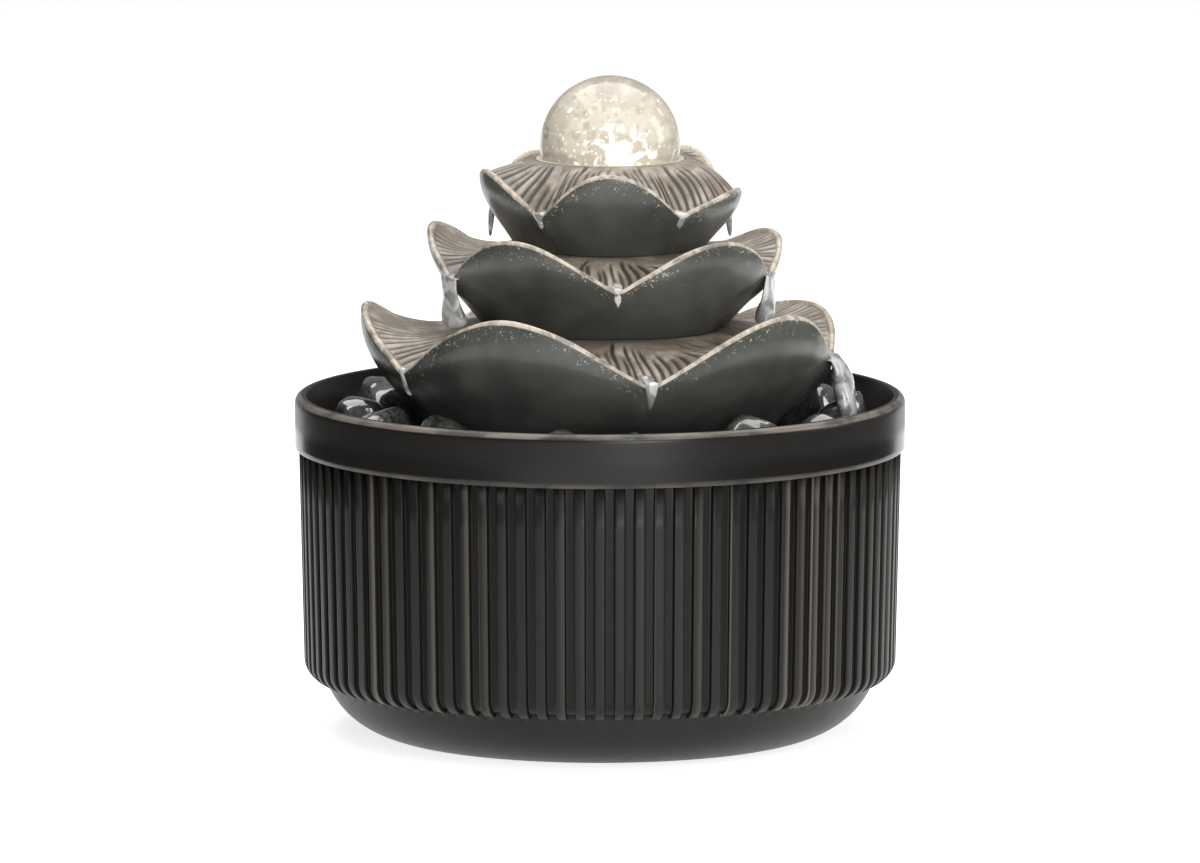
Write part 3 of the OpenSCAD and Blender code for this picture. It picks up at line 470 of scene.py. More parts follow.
class FOUNTAIN_OT_pot(bpy.types.Operator):
    """The ribbed pot: its profile carried round, with the radius lifted from the groove
    profile to the rib profile by a rounded step that repeats once a rib"""

    bl_idname = "fountain.pot"
    bl_label = "Ribbed pot"

    def execute(self, context):
        s = context.scene.fountain_bowl
        low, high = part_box("outer_pot")
        plate_low, plate_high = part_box("base_plate")
        rim_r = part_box("basin")[1].x
        rib_top = rim_r - s.overhang
        foot_top = rib_top - s.rib_draft - s.shoulder
        foot_flat = foot_top - s.foot_inset
        shoulder_z = s.foot_height + s.shoulder
        rim_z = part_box("basin")[1].z - s.rim_height
        wall = 2 * MM
        break_edge = 0.3 * MM
        fit_gap = 0.05 * MM
        skin = s.rib_depth + wall
        plate_r = plate_high.x + 0.3 * MM
        plate_z = plate_low.z + 3 * MM
        hatch_r = plate_high.x - 6 * MM
        floor_z = plate_z + 2.6 * MM
        foot, inner_foot = self.foot_arcs(s, foot_flat, foot_top, low.z, skin)
        inner_foot = inner_foot[inner_foot[:, 1] > floor_z]

        # Each row has a place for the ribs and a place for the grooves
        shoulder_turn = np.linspace(-90, 0, 12)
        centre = (foot_top, shoulder_z)
        ribs = [circle_arc(centre, s.shoulder, a, a, 1)[0] for a in shoulder_turn]
        grooves = [circle_arc(centre, s.shoulder - s.rib_depth, a, a, 1)[0] for a in shoulder_turn]
        for z in np.linspace(shoulder_z, rim_z, 6)[1:]:
            lean = s.rib_draft * (z - shoulder_z) / (rim_z - shoulder_z)
            r = rib_top - s.rib_draft + lean
            ribs.append(np.array([r, z]))
            grooves.append(np.array([r - s.rib_depth, z]))
        ribs[-1] = ribs[-1] - [0, fit_gap]
        collar = rib_top - s.rib_depth
        above = [
            [collar, rim_z], [collar, high.z - break_edge], [collar - break_edge, high.z],
            [collar - wall + break_edge, high.z], [collar - wall, high.z - break_edge],
            [collar - wall, rim_z],
        ]
        inside = [g - [wall, 0] for g in grooves[:11:-1]]
        inside += [circle_arc(centre, s.shoulder - skin, a, a, 1)[0] for a in (0, -30, -60, -90)]
        below = [
            [inner_foot[0, 0] - 1 * MM, floor_z], [hatch_r, floor_z], [hatch_r, plate_z],
            [plate_r, plate_z], [plate_r, low.z + 0.2 * MM], [plate_r + 0.2 * MM, low.z],
        ]
        tail = [*above, *inside, *inner_foot[::-1], *below]
        rib_rows = np.array([*foot, *ribs, *tail])
        groove_rows = np.array([*foot, *grooves, *tail])

        # One rib's pitch: from the middle of a groove, up the side, over the rib and down.
        # The places are shares of the pitch from a rib's edge, and the rise is a rounded step
        half = s.rib_share / 2
        edge = np.array([-0.035, -0.014, -0.006, 0.010, 0.024, 0.045])
        rise = np.array([0.0, 0.06, 0.35, 0.80, 0.965, 1.0])
        steps = np.concatenate([[-0.5, -0.4], edge - half, [-0.1, 0.1], half - edge[::-1], [0.4]])
        level = np.concatenate([[0, 0], rise, [1, 1], rise[::-1], [0]])
        angles = ((np.arange(s.ribs)[:, None] + steps) * 2 * np.pi / s.ribs).ravel() + np.pi
        level = np.tile(level, s.ribs)
        place = groove_rows[:, None] + (rib_rows - groove_rows)[:, None] * level[None, :, None]
        points = ring(place[..., 0], place[..., 1], angles[None, :])
        faces = grid_faces(len(rib_rows), len(angles), wrap_rows=True)
        ribbed = np.zeros((len(rib_rows), 1))
        ribbed[len(foot):len(foot) + len(ribs)] = 1
        # Painted highlight: a few ribs get a pale line along their edges, most of them on one side
        highlight_strength = np.random.default_rng(3).uniform(0, 1, (s.ribs, 2)) ** 4
        rib_highlight = np.zeros((s.ribs, len(steps)))
        rib_highlight[:, 5:7] = highlight_strength[:, :1]
        rib_highlight[:, -8:-6] = 0.5 * highlight_strength[:, 1:]
        masks = {"groove": ribbed * (1 - level), "rib_highlight": ribbed * rib_highlight.ravel()}
        piece = make_piece(
            "pot_shell", points, faces, "bowl", ["outer_pot"], masks, weld=False
        )
        self.cut_inlet(piece, s, foot_top)
        cover(piece, self.finish(s))
        return {"FINISHED"}

    def foot_arcs(self, s, flat, top, base, skin):
        """The foot's outer and inner arcs, through its flat edge and its upper edge."""
        p, q = np.array([flat, base]), np.array([top, s.foot_height])
        chord = q - p
        half = np.linalg.norm(chord) / 2
        side = np.array([-chord[1], chord[0]]) / (2 * half)
        centre = (p + q) / 2 + side * math.sqrt(s.foot_curve**2 - half**2)
        a, b = (math.degrees(math.atan2(*(k - centre)[::-1])) for k in (p, q))
        outer = circle_arc(centre, s.foot_curve, a, b, 16)
        return outer, circle_arc(centre, s.foot_curve - skin, a, b, 12)

    def cut_inlet(self, piece, s, foot_top):
        """The round pocket of the power inlet: a hole in the shell and a liner that fills it."""
        low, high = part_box("inlet_socket")
        z = (low.z + high.z) / 2
        outer_r, inner_r, hole_r = 8.2 * MM, 7 * MM, 4.66 * MM
        face_y = high.y - 1.6 * MM
        count = 72
        t = np.linspace(0, 2 * np.pi, count, endpoint=False)
        cut(piece, *cylinder((0, face_y - 6 * MM, z), (0, 1, 0), outer_r, 40 * MM, count))

        def skin_y(x, height):
            """Where the plain outside of foot and shoulder lies behind a point."""
            centre = (foot_top, s.foot_height + s.shoulder)
            arc = (s.shoulder - s.rib_depth) ** 2 - np.clip(centre[1] - height, 0, None) ** 2
            shoulder = centre[0] + np.sqrt(np.clip(arc, 0, None))
            foot = self.foot_arcs(s, foot_top - s.foot_inset, foot_top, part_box("outer_pot")[0].z, 0)
            r = np.where(height > s.foot_height + 0.8 * MM, shoulder,
                         np.interp(height, foot[0][:, 1], foot[0][:, 0]))
            return np.sqrt(r**2 - x**2)

        def tube(radius, y):
            """A ring at depth y, or at y from the plain outside where y isn't above 0."""
            x, up = radius * np.cos(t), z + radius * np.sin(t)
            depth = skin_y(x, up) + y if y <= 0 else np.full(count, y)
            return np.stack([x, depth, up], -1)

        back = face_y - 2.2 * MM
        rows = [
            tube(hole_r, face_y), tube(inner_r - 0.4 * MM, face_y), tube(inner_r, face_y + 0.4 * MM),
            tube(inner_r, -0.5 * MM), tube(inner_r + 0.4 * MM, -0.02 * MM),
            tube(outer_r, -0.02 * MM), tube(outer_r, back), tube(hole_r, back),
        ]
        liner = make_piece(
            "inlet_pocket", np.array(rows), grid_faces(len(rows), count, True), "bowl",
            weld=False,
        )
        cover(liner, moulded("pocket_plastic", s.pot_colour, 0.5))

    def finish(self, s):
        """Matt charcoal plastic, streaked upright, with painted shade in the grooves and painted
        highlights along a few rib edges.
        """
        finish = Finish("pot_plastic", Specular_IOR_Level=0.22)
        cloud = finish.noise(22, 4)
        streak = finish.noise(240, 3, at=finish.place((1, 1, 0.12)))
        grain = finish.noise(2200, 2)
        warm = shade(s.pot_colour, (1.45, 1.38, 1.3))
        tone = finish.mix((0.6 * cloud + 0.4 * streak).above(0.35, 0.7), s.pot_colour, warm)
        # Painted shade: the grooves between the ribs are darkened almost to black
        tone = finish.mix(finish.attribute("groove") * 0.8, tone, (0.001, 0.001, 0.001))
        # Painted highlight: a pale line along the edges of a few ribs
        painted_highlight = shade(s.pot_colour, (26, 24, 21))
        tone = finish.mix(finish.attribute("rib_highlight") * 0.75, tone, painted_highlight)
        finish.put(
            Base_Color=tone,
            Roughness=0.38 + 0.14 * (streak - 0.5) + 0.1 * (cloud - 0.5),
            Normal=finish.bump(grain, 0.02 * MM, normal=finish.bump(streak, 0.01 * MM)),
        )
        return finish


class FOUNTAIN_OT_basin(bpy.types.Operator):
    """The basin: a profile of rounded rim, inner wall, ledge and floor, carried round"""

    bl_idname = "fountain.basin"
    bl_label = "Basin and rim"

    def execute(self, context):
        s = context.scene.fountain_bowl
        low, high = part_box("basin")
        rim_r, rim_z = high.x, high.z
        band_z = rim_z - s.rim_height
        collar = rim_r - s.overhang - s.rib_depth
        wall = 2.3 * MM
        gap = 0.3 * MM
        break_edge = 0.7 * MM
        wall_r = collar - wall
        inner_r = wall_r - wall
        low_r = wall_r - 4 * MM
        floor_z = low.z + 2.4 * MM
        heel = 12 * MM
        ledge_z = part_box("stone_tray")[0].z + 4 * MM
        collar_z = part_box("outer_pot")[1].z
        tray_z = ledge_z + 3 * MM
        corner = s.rim_corner
        lip_r = rim_r - s.rim_lip
        rows = [
            [0, low.z], [low_r - heel, low.z], [low_r, low.z + heel], [wall_r, band_z],
            [wall_r, collar_z], [collar + gap, collar_z], [collar + gap, band_z + gap],
            [collar + 2 * gap, band_z], [rim_r - break_edge, band_z],
            [rim_r - 0.2 * MM, band_z + 0.2 * MM], [rim_r, band_z + break_edge],
        ]
        rows += [[rim_r, z] for z in np.linspace(band_z + 2 * MM, rim_z - corner - 1 * MM, 4)]
        rows += circle_arc((rim_r - corner, rim_z - corner), corner, 0, 90, 12).tolist()
        inner_turn = (lip_r + break_edge, rim_z - break_edge)
        rows += circle_arc(inner_turn, break_edge, 90, 165, 6).tolist()
        rows += [
            [lip_r - 1.2 * MM, rim_z - 5 * MM], [inner_r + gap, band_z + 4.6 * MM],
            [inner_r, band_z + 3.6 * MM], [inner_r - 0.4 * MM, tray_z - 1 * MM],
            [inner_r - 0.4 * MM, ledge_z], [inner_r - 3 * MM, ledge_z],
            [inner_r - 1 * MM, ledge_z - 6 * MM], [low_r - wall, floor_z + heel],
            [low_r - wall - heel + 1 * MM, floor_z], [0, floor_z],
        ]
        rows = np.array(rows)
        count = 360
        angles = np.linspace(0, 2 * np.pi, count, endpoint=False)
        points = ring(rows[:, :1] + 0 * angles, rows[:, 1:], angles)
        # Painted highlight: the rim is paler at its upper turn, and less so along its lower edge
        turn = (rows[:, 0] > rim_r - 0.75 * corner) & (rows[:, 1] > rim_z - 0.6 * corner)
        under = (rows[:, 0] > rim_r - 1 * MM) & (rows[:, 1] < band_z + 1 * MM)
        masks = {"edge": turn[:, None] + 0.35 * under[:, None] + 0 * angles}
        piece = make_piece(
            "basin_shell", points, grid_faces(len(rows), count), "bowl", ["basin"],
            masks,
        )
        g_low, g_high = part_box("floor_grommet")
        middle = (g_low + g_high) / 2
        hole_r, depth = 7 * MM, 6 * MM
        cut(piece, *cylinder((middle.x, middle.y, low.z - 1 * MM), (0, 0, 1), hole_r, depth))
        # Keeps the hard corners of the profile hard under smooth shading
        piece.data.set_sharp_from_angle(angle=math.radians(38))
        cover(piece, self.finish(s))
        return {"FINISHED"}

    def finish(self, s):
        """Satin charcoal plastic, wetter and glossier below the stones' line, with a painted
        highlight along the rim's edges.
        """
        finish = Finish("basin_plastic", Specular_IOR_Level=0.26)
        cloud = finish.noise(18, 4)
        grain = finish.noise(1900, 2)
        height = finish.node("ShaderNodeSeparateXYZ", {}, [finish.position], out="Z")
        swirl = finish.noise(60, 3, at=finish.place((1, 1, 3)))
        warm = shade(s.rim_colour, 1.35)
        damp = (1 - height.above(98 * MM, 104 * MM)) * 0.14
        tone = finish.mix(cloud, s.rim_colour, warm)
        # Painted highlight along the rim's upper turn and lower edge, broken up by the swirl
        painted_highlight = finish.attribute("edge") * (0.25 + 0.75 * swirl.above(0.35, 0.6))
        finish.put(
            Base_Color=finish.mix(painted_highlight, tone, (0.17, 0.152, 0.130)),
            Roughness=0.3 + 0.1 * (swirl - 0.5) - damp,
            Normal=finish.bump(grain, 0.015 * MM),
        )
        return finish


class FOUNTAIN_OT_leaf_tiers(bpy.types.Operator):
    """The three leaf castings: a profile of foot, cushion, rolled edge, upper face and hollow,
    whose radii and heights follow the sine of two and a half times the azimuth"""

    bl_idname = "fountain.leaf_tiers"
    bl_label = "Leaf tiers"

    # Lift of each petal's tip, in millimetres, anticlockwise from the first notch
    lifts = ((1.5, -4.4, -2, -1.7, 2.4), (0.3, -3.1, -1, 0.3, 1.5), (-6, 3, 2, 0.5, 2))

    def execute(self, context):
        s = context.scene.fountain_leaf
        finish = self.finish(s)
        for tier, node in enumerate(TIERS):
            points, masks = self.surface(s, tier, node)
            faces = grid_faces(*points.shape[:2], wrap_rows=True)
            piece = make_piece(
                node.replace("leaf_tier", "leaf_casting"), points, faces, "sculpture",
                [node], masks, weld=False,
            )
            cover(piece, finish)
        return {"FINISHED"}

    def surface(self, s, tier, node):
        """Points and masks of one casting, row by row from the foot's edge round to the hollow."""
        cols = (1152, 900, 720)[tier]
        riser_low, riser_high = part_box("riser_tube")
        centre_x = (riser_low.x + riser_high.x) / 2 + s.shift[tier]
        # a is the azimuth from the first notch, and c is 0 at each notch and 1 at each tip
        a = np.linspace(0, 2 * np.pi, cols, endpoint=False)
        c = np.abs(np.sin(PETALS * a / 2))
        petal = 2 * np.pi / PETALS
        lift = np.array(self.lifts[tier])[(a / petal).astype(int) % PETALS] * MM
        around = np.stack([np.cos(a), np.sin(a), np.full(cols, tier * 2.0)], -1)
        drift = waves(around, 5.5, 11 + tier)
        ripple = waves(around, 14, 31 + tier)
        spout_width = math.radians(4.5)
        spout = np.exp(-((np.minimum(a % petal, (-a) % petal) / spout_width) ** 2))

        rim = s.notch_r[tier] + (s.tip_r[tier] - s.notch_r[tier]) * c
        rim = rim + (0.5 * drift + 0.3 * ripple + SPOUT_OUT * spout) * MM
        top = s.notch_h[tier] + (s.tip_h[tier] + lift - s.notch_h[tier]) * c**1.35
        top = top + (0.45 * drift + 0.35 * ripple - SPOUT_DOWN * spout) * MM
        foot = s.base_r[tier] - s.crease[tier] * (1 - c)
        lip = s.lip * (1 + 0.18 * ripple)
        seat = s.seat_h[tier]

        # The outer face swells from the foot to the edge, the edge is half a circle, and the
        # upper face falls inwards to the seat
        u = np.linspace(0, 1, 34)[:-1, None]
        slim = smooth(u / 0.92)
        swell = (1 - s.belly[tier]) * slim + s.belly[tier] * np.sin(u * np.pi / 2)
        fold = s.crease[tier] * (1 - c) * np.sin(u * np.pi)
        outer_r = foot + (rim - foot) * swell - fold
        outer_z = (top - lip) * u
        turn = np.radians(np.linspace(0, 180, 10))[:, None]
        lip_r = rim - lip + lip * np.cos(turn)
        lip_z = top - lip + lip * np.sin(turn)
        down = 1 - np.linspace(0, 1, 31)[1:, None]
        edge = rim - 2 * lip
        seat_r = s.seat_r[tier]
        upper_r = seat_r + (edge - seat_r) * down
        rise = down ** (1.2 + 1.2 * c)
        upper_z = seat + (top - lip - seat) * rise - s.dip[tier] * c * np.sin(down * np.pi)

        groove = self.grooves(s, tier, a, upper_r, down)
        upper_z = upper_z - s.groove_depth * groove
        inner = self.hollow(s, tier)
        inner_r = inner[:, :1] + 0 * a
        inner_z = inner[:, 1:] + 0 * a

        radius = np.concatenate([outer_r, lip_r, upper_r, inner_r])
        height = np.concatenate([outer_z, lip_z, upper_z, inner_z]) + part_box(node)[0].z
        points = ring(radius, height, a + s.turn[tier], (centre_x, 0))
        one = np.ones(cols)
        near_lip = 0.9 * np.clip(1 - (1 - u) * (top - lip) / (8 * MM), 0, 1)
        masks = {
            "upper": np.concatenate([0 * outer_z, turn / np.pi * one, 1 + 0 * upper_r, 0 * inner_r]),
            "edge": np.concatenate([near_lip, one + 0 * lip_r,
                                    np.clip(1 - (1 - down) * 14, 0, 1) * one, 0 * inner_r]),
            "groove": np.concatenate([0 * outer_z, 0 * lip_r, groove, 0 * inner_r]),
            "inward": np.concatenate([0 * outer_z, 0 * lip_r, (1 - down) * one, one + 0 * inner_r]),
        }
        return points, masks

    def grooves(self, s, tier, a, radius, down):
        """Grooves that run in from the edge: each has its own place, depth and reach."""
        count = s.grooves[tier]
        rng = np.random.default_rng(5 + tier)
        bend = 0.22 * np.sin(6 * down + 3 * a) + 0.12 * np.sin(17 * a)
        lane = a / (2 * np.pi) * count + bend
        index = np.floor(lane).astype(int) % count
        offset = rng.uniform(-0.2, 0.2, count)[index]
        depth = rng.uniform(0.55, 1.0, count)[index]
        reach = rng.uniform(0.3, 1.0, count)[index]
        pitch = 2 * np.pi * radius / count
        away = (lane % 1 - 0.5 - offset) * pitch
        groove_width = 0.62 * MM
        shape = np.exp(-((away / groove_width) ** 2))
        start = smooth((1 - down) / 0.05)
        fade = 1 - smooth(((1 - down) - reach * 0.8) / 0.25)
        return shape * depth * start * fade

    def hollow(self, s, tier):
        """The inner profile under a tier, from its seat down to its foot."""
        riser_low, riser_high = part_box("riser_tube")
        bore = (riser_high.x - riser_low.x) / 2 + 4 * MM
        seat = s.seat_h[tier]
        if tier == 2:
            cup_low, cup_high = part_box("ball_cup")
            well = (cup_high.x - cup_low.x) / 2 + 0.3 * MM
            room = 20 * MM
            return np.array([[well, seat], [well, seat - 10 * MM], [room, seat - 10 * MM], [room, 0]])
        wall = s.base_r[tier] - s.crease[tier] - (5.5 * MM, 5 * MM)[tier]
        roof = seat - (6 * MM, 7 * MM)[tier]
        roof_r = bore + (16 * MM, 8 * MM)[tier]
        return np.array([[bore, seat], [bore, roof], [roof_r, roof], [wall, roof * 0.72], [wall, 0]])

    def finish(self, s):
        """Dark cast resin, dry-brushed with cream at the edges and taupe above, with painted shade on
        the upper face towards the seat.
        """
        finish = Finish("leaf_resin", Specular_IOR_Level=0.45, Coat_Roughness=0.2)
        upper = finish.attribute("upper")
        edge = finish.attribute("edge")
        groove = finish.attribute("groove")
        inward = finish.attribute("inward")
        cloud = finish.noise(35, 4)
        patch = finish.noise(95, 5, 0.62, distortion=0.6)
        fine = finish.noise(620, 4, 0.6)
        strokes = finish.noise(420, 3, 0.6, at=finish.place((1, 1, 0.3)))
        speck = finish.noise(760, 2, 0.5, distortion=1.5)
        scratch = finish.noise(150, 4, 0.7, at=finish.place((1, 1, 6), (0.5, 0.3, 0)), distortion=1)

        leaf = finish.mix(cloud.above(0.3, 0.72), shade(s.dark, 0.6), shade(s.dark, 1.25))
        fleck = (speck + 0.08 * edge).above(0.69, 0.74) * (edge + patch - 0.4).above(0.1, 0.7)
        line = scratch.above(0.69, 0.72) * patch.above(0.5, 0.62)
        leaf = finish.mix((0.7 * fleck + 0.5 * line).limit(), leaf, s.cream)

        brown = shade(s.pale, (0.50, 0.47, 0.44))
        face = finish.mix(patch.above(0.42, 0.66), brown, s.pale)
        # Painted shade: the upper face darkens towards the seat, under the tier or ball above
        face = finish.mix(inward.above(0.6, 1.0) * 0.45, face, shade(s.pale, 0.3))
        face = finish.mix((groove * 1.7).limit() * 0.92, face, shade(s.pale, 0.07))

        hatch = (strokes + 0.25 * fine).above(0.58, 0.72)
        rim = finish.mix(hatch * 0.4, s.cream, shade(s.pale, 0.25))
        tone = finish.mix(upper.above(0.3, 0.6), leaf, face)
        brushed = edge.above(0.93, 1.0) * (0.3 + 0.6 * (patch + 0.3 * fine).above(0.52, 0.7))
        tone = finish.mix(brushed, tone, rim)
        relief = 0.6 * patch + 0.4 * fine - 0.5 * hatch * edge.above(0.8, 1.0)
        finish.put(
            Base_Color=tone,
            Roughness=0.33 + 0.22 * (patch - 0.5) + 0.16 * upper,
            Coat_Weight=(0.3 - 0.1 * upper) * cloud.above(0.25, 0.65),
            Normal=finish.bump(relief, 0.2 * MM, 0.8),
        )
        return finish


class FOUNTAIN_OT_stones(bpy.types.Operator):
    """The loose stones: the distance to a soft minimum of seeded planes, with fine lumps"""

    bl_idname = "fountain.stones"
    bl_label = "Wet stones"

    def execute(self, context):
        s = context.scene.fountain_stone
        finish = self.finish(s)
        ray, faces = sphere(60, 96)
        sharpness, core, flat_base = 9, 0.72, -0.62
        for number, node in enumerate(STONES):
            low, high = (np.array(corner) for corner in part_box(node))
            rng = np.random.default_rng(100 + number)
            planes = rng.normal(size=(s.facets, 3))
            planes /= np.linalg.norm(planes, axis=1)[:, None]
            reach = rng.uniform(0.78, 1.0, s.facets)
            facing = np.clip(ray @ planes.T / reach, 0, None)
            ball = (np.sum(facing**sharpness, -1) + core**sharpness) ** (-1 / sharpness)
            lumps = 1 + 0.02 * waves(ray, 6, number) + 0.006 * waves(ray, 22, number)
            shape = ray * (ball * lumps)[..., None]
            shape[..., 2] = np.maximum(shape[..., 2], flat_base)
            unit = (shape - shape.min(0)) / (shape.max(0) - shape.min(0))
            points = low + unit * (high - low)
            piece = make_piece(
                node.replace("stone", "rock"), points, faces, "tray", [node]
            )
            cover(piece, finish)
        return {"FINISHED"}

    def finish(self, s):
        """Near-black wet stone with paler clouds, specks and thin veins."""
        finish = Finish(
            "wet_stone", Specular_IOR_Level=0.7, Coat_Weight=1.0, Coat_Roughness=0.03, Coat_IOR=1.7
        )
        cloud = finish.noise(60, 5, 0.6, distortion=0.8)
        speck = finish.noise(900, 3)
        vein = finish.noise(45, 6, 0.7, distortion=2.0)
        tone = finish.mix(cloud.above(0.4, 0.75), s.dark, s.light)
        tone = finish.mix(speck.above(0.62, 0.72) * 0.35, tone, shade(s.light, 1.8))
        thin = 1 - abs((vein - 0.5) * 14).limit()
        tone = finish.mix(thin * 0.25, tone, shade(s.light, 2.2))
        finish.put(
            Base_Color=tone,
            Roughness=0.16 + 0.2 * cloud.above(0.45, 0.7),
            Normal=finish.bump(0.7 * cloud + 0.3 * speck, 0.4 * MM, 0.6),
        )
        return finish


class FOUNTAIN_OT_ball(bpy.types.Operator):
    """The glass ball, with seeded bubbles that crowd into a cloud over the lamp, bright with painted
    lamp light
    """

    bl_idname = "fountain.ball"
    bl_label = "Glass ball"

    def execute(self, context):
        s = context.scene.fountain_ball
        low, high = (np.array(corner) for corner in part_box("glass_ball"))
        centre = (low + high) / 2
        radius = (high - low).max() / 2
        points, faces = sphere(96, 160)
        # The lamp lights the lower middle of the glass, a little to the right
        lit = np.exp(-((points[:, 0] - 0.1) / 0.55) ** 2 - ((points[:, 2] + 0.1) / 0.5) ** 2)
        ball = make_piece(
            "ball_glass", centre + radius * points, faces, "ball", ["glass_ball"],
            {"lit": lit},
        )
        cover(ball, self.glass(s))
        bubbles = self.bubbles(s, centre, radius)
        # Painted lamp light: the bubbles glow though they hold no lamp
        cover(bubbles, glow("bubble_light", s, 0.35))
        return {"FINISHED"}

    def bubbles(self, s, centre, radius):
        """One mesh of small flattened spheres, denser and larger towards the lamp."""
        rng = np.random.default_rng(7)
        shape, faces = sphere(9, 12)
        cloud_centre, cloud_spread = (0.08, -0.1, -0.2), (0.26, 0.3, 0.3)
        stray_reach, farthest = 0.72, 0.85
        spots = rng.normal(cloud_centre, cloud_spread, (s.bubbles, 3))
        stray = rng.normal(0, 1, (s.bubbles // 4, 3))
        stray *= stray_reach / np.linalg.norm(stray, axis=1)[:, None]
        spots = np.concatenate([spots, stray])
        far = np.maximum(np.linalg.norm(spots, axis=1) / farthest, 1)
        spots = spots / far[:, None]
        size = radius * rng.uniform(0.012, 0.055, len(spots))[:, None, None]
        size[s.bubbles:] *= 0.6
        squash = rng.uniform(0.6, 1.3, (len(spots), 1, 3))
        points = centre + radius * spots[:, None] + size * squash * shape
        faces = (faces[None] + len(shape) * np.arange(len(spots))[:, None, None]).reshape(-1, 4)
        return make_piece("ball_bubbles", points, faces, "ball")

    def glass(self, s):
        """Ivory glass with crackled white blotches, most of them over the lamp. It glows with painted
        lamp light, faintly all over and most in the blotches, and is paler where the lamp lights it.
        """
        finish = Finish(
            "ball_glass", IOR=1.3, Transmission_Weight=0.45, Specular_IOR_Level=0.4,
            Coat_Weight=0.2, Coat_Roughness=0.03, Emission_Strength=0.42,
        )
        lit = finish.attribute("lit")
        swirl = finish.noise(55, 4, 0.6, distortion=1.2)
        haze = finish.noise(170, 5, 0.62, distortion=0.4)
        drops = 1 - finish.cells(430).above(0.16, 0.26)
        # Painted lamp light: where the lamp lights the glass it is paler, more blotched and glows
        # more
        blotch = ((haze + 0.30 * lit).above(0.66, 0.74) + drops * (0.2 + lit)).limit()
        lamp_lit_tint = finish.mix(lit, shade(s.glass, 0.6), shade(s.glass, 0.9))
        finish.put(
            Base_Color=finish.mix(blotch, finish.mix(swirl, lamp_lit_tint, s.glass), (0.95, 0.94, 0.90)),
            Emission_Color=finish.mix(blotch, shade(s.glow, 0.12), s.glow),
            Roughness=0.05 + 0.15 * blotch,
            Normal=finish.bump(swirl, 0.2 * MM, 0.3),
        )
        return finish


class FOUNTAIN_OT_water(bpy.types.Operator):
    """The water that runs over each notch: a flattened tube along a path that is nearly level as
    far as the edge, and then falls as the square of the way out or clings to the leaf"""

    bl_idname = "fountain.water"
    bl_label = "Running water"

    # Width in millimetres at each notch and how far out the water is thrown, from the bottom up;
    # a negative throw clings to the crease under the notch
    widths = ((5, 22, 9, 9, 5), (4, 16, 7, 7, 16), (5, 4, 3, 3, 5))
    throws = ((-4, 6, 3, 3, -4), (-4, -3, 2, 2, -3), (-3, 1.5, 1.5, 1.5, -3))

    def execute(self, context):
        s = context.scene.fountain_leaf
        finish = self.finish()
        riser_low, riser_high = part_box("riser_tube")
        landing = (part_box("stone_tray")[1].z + 8 * MM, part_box("leaf_tier_middle")[0].z + 2 * MM,
                   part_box("leaf_tier_top")[0].z + 1.5 * MM)
        for tier, node in enumerate(TIERS):
            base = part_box(node)[0].z
            centre = ((riser_low.x + riser_high.x) / 2 + s.shift[tier], 0)
            lip = (s.notch_r[tier] + SPOUT_OUT * MM, base + s.notch_h[tier] - 0.1 * MM)
            for k in range(PETALS):
                azimuth = s.turn[tier] + 2 * np.pi * k / PETALS
                size = self.widths[tier][k] * MM, self.throws[tier][k] * MM
                seed = PETALS * tier + k
                points = self.stream(lip, landing[tier], azimuth, centre, size, seed)
                name = f"{node.replace('leaf_tier', 'water')}_{k + 1}"
                faces = grid_faces(*points.shape[:2])
                piece = make_piece(name, points, faces, "sculpture")
                cover(piece, finish)
        return {"FINISHED"}

    def stream(self, lip, landing, azimuth, centre, size, seed):
        """Points of one stream, in rings from the still end to the falling end.

        A thrown or wide sheet widens as it falls, and a narrow one that clings thins out."""
        rows, cols = 64, 32
        run_in, rise = 9 * MM, 1.5 * MM
        wide, broadest = 10 * MM, 14 * MM
        width, throw = size
        # t is -1 at the still end, 0 at the edge and 1 where the water lands or thins out
        t = np.linspace(-1, 1, rows)[:, None]
        phi = np.linspace(0, 2 * np.pi, cols, endpoint=False)
        fall = np.clip(t, 0, 1)
        sheet = throw > 0 or width > wide
        share_of_fall, spread = (1, 0.35) if sheet else (0.35, -0.5)
        drop = fall**2 if throw > 0 else 1 - (1 - fall) ** 1.3
        out = throw * (fall if throw > 0 else fall**1.3)
        radius = lip[0] + np.where(t < 0, run_in * t, out)
        height = lip[1] - (lip[1] - landing) * drop * share_of_fall
        height = height + rise * np.clip(-t, 0, 1) ** 2
        closing = np.sqrt(np.clip(1 - t**6, 0, 1))
        ripple = np.sin(6 * t + seed) + 0.3 * np.sin(13 * t + 2.3 * seed)
        half = width / 2 * (0.8 + spread * fall) * (1 + 0.12 * ripple) * closing
        body = 0.5 + (3.0 * width / broadest if sheet else 0.9) * fall
        thick = body * MM * (1 + 0.15 * np.sin(9 * t + phi * 2 + seed)) * closing
        slope = np.arctan2(-np.gradient(height[:, 0]), np.gradient(radius[:, 0]))[:, None]
        across = half * np.cos(phi)
        lift = thick * np.sin(phi)
        r = radius + lift * np.sin(slope)
        z = height + lift * np.cos(slope)
        x = centre[0] + r * np.sin(azimuth) + across * np.cos(azimuth)
        y = centre[1] - r * np.cos(azimuth) + across * np.sin(azimuth)
        return np.stack([x, y, z], -1)

    def finish(self):
        """Clear water with air in it."""
        finish = Finish(
            "water", IOR=1.33, Transmission_Weight=0.35, Specular_IOR_Level=0.7, Coat_Weight=0.6,
            Coat_Roughness=0.02,
        )
        churn = finish.noise(140, 3, 0.5, distortion=1)
        finish.put(
            Base_Color=finish.mix(churn.above(0.42, 0.56), (0.42, 0.43, 0.42), (1.0, 1.0, 1.0)),
            Roughness=0.02 + 0.1 * churn,
            Normal=finish.bump(churn, 0.6 * MM, 0.5),
        )
        return finish


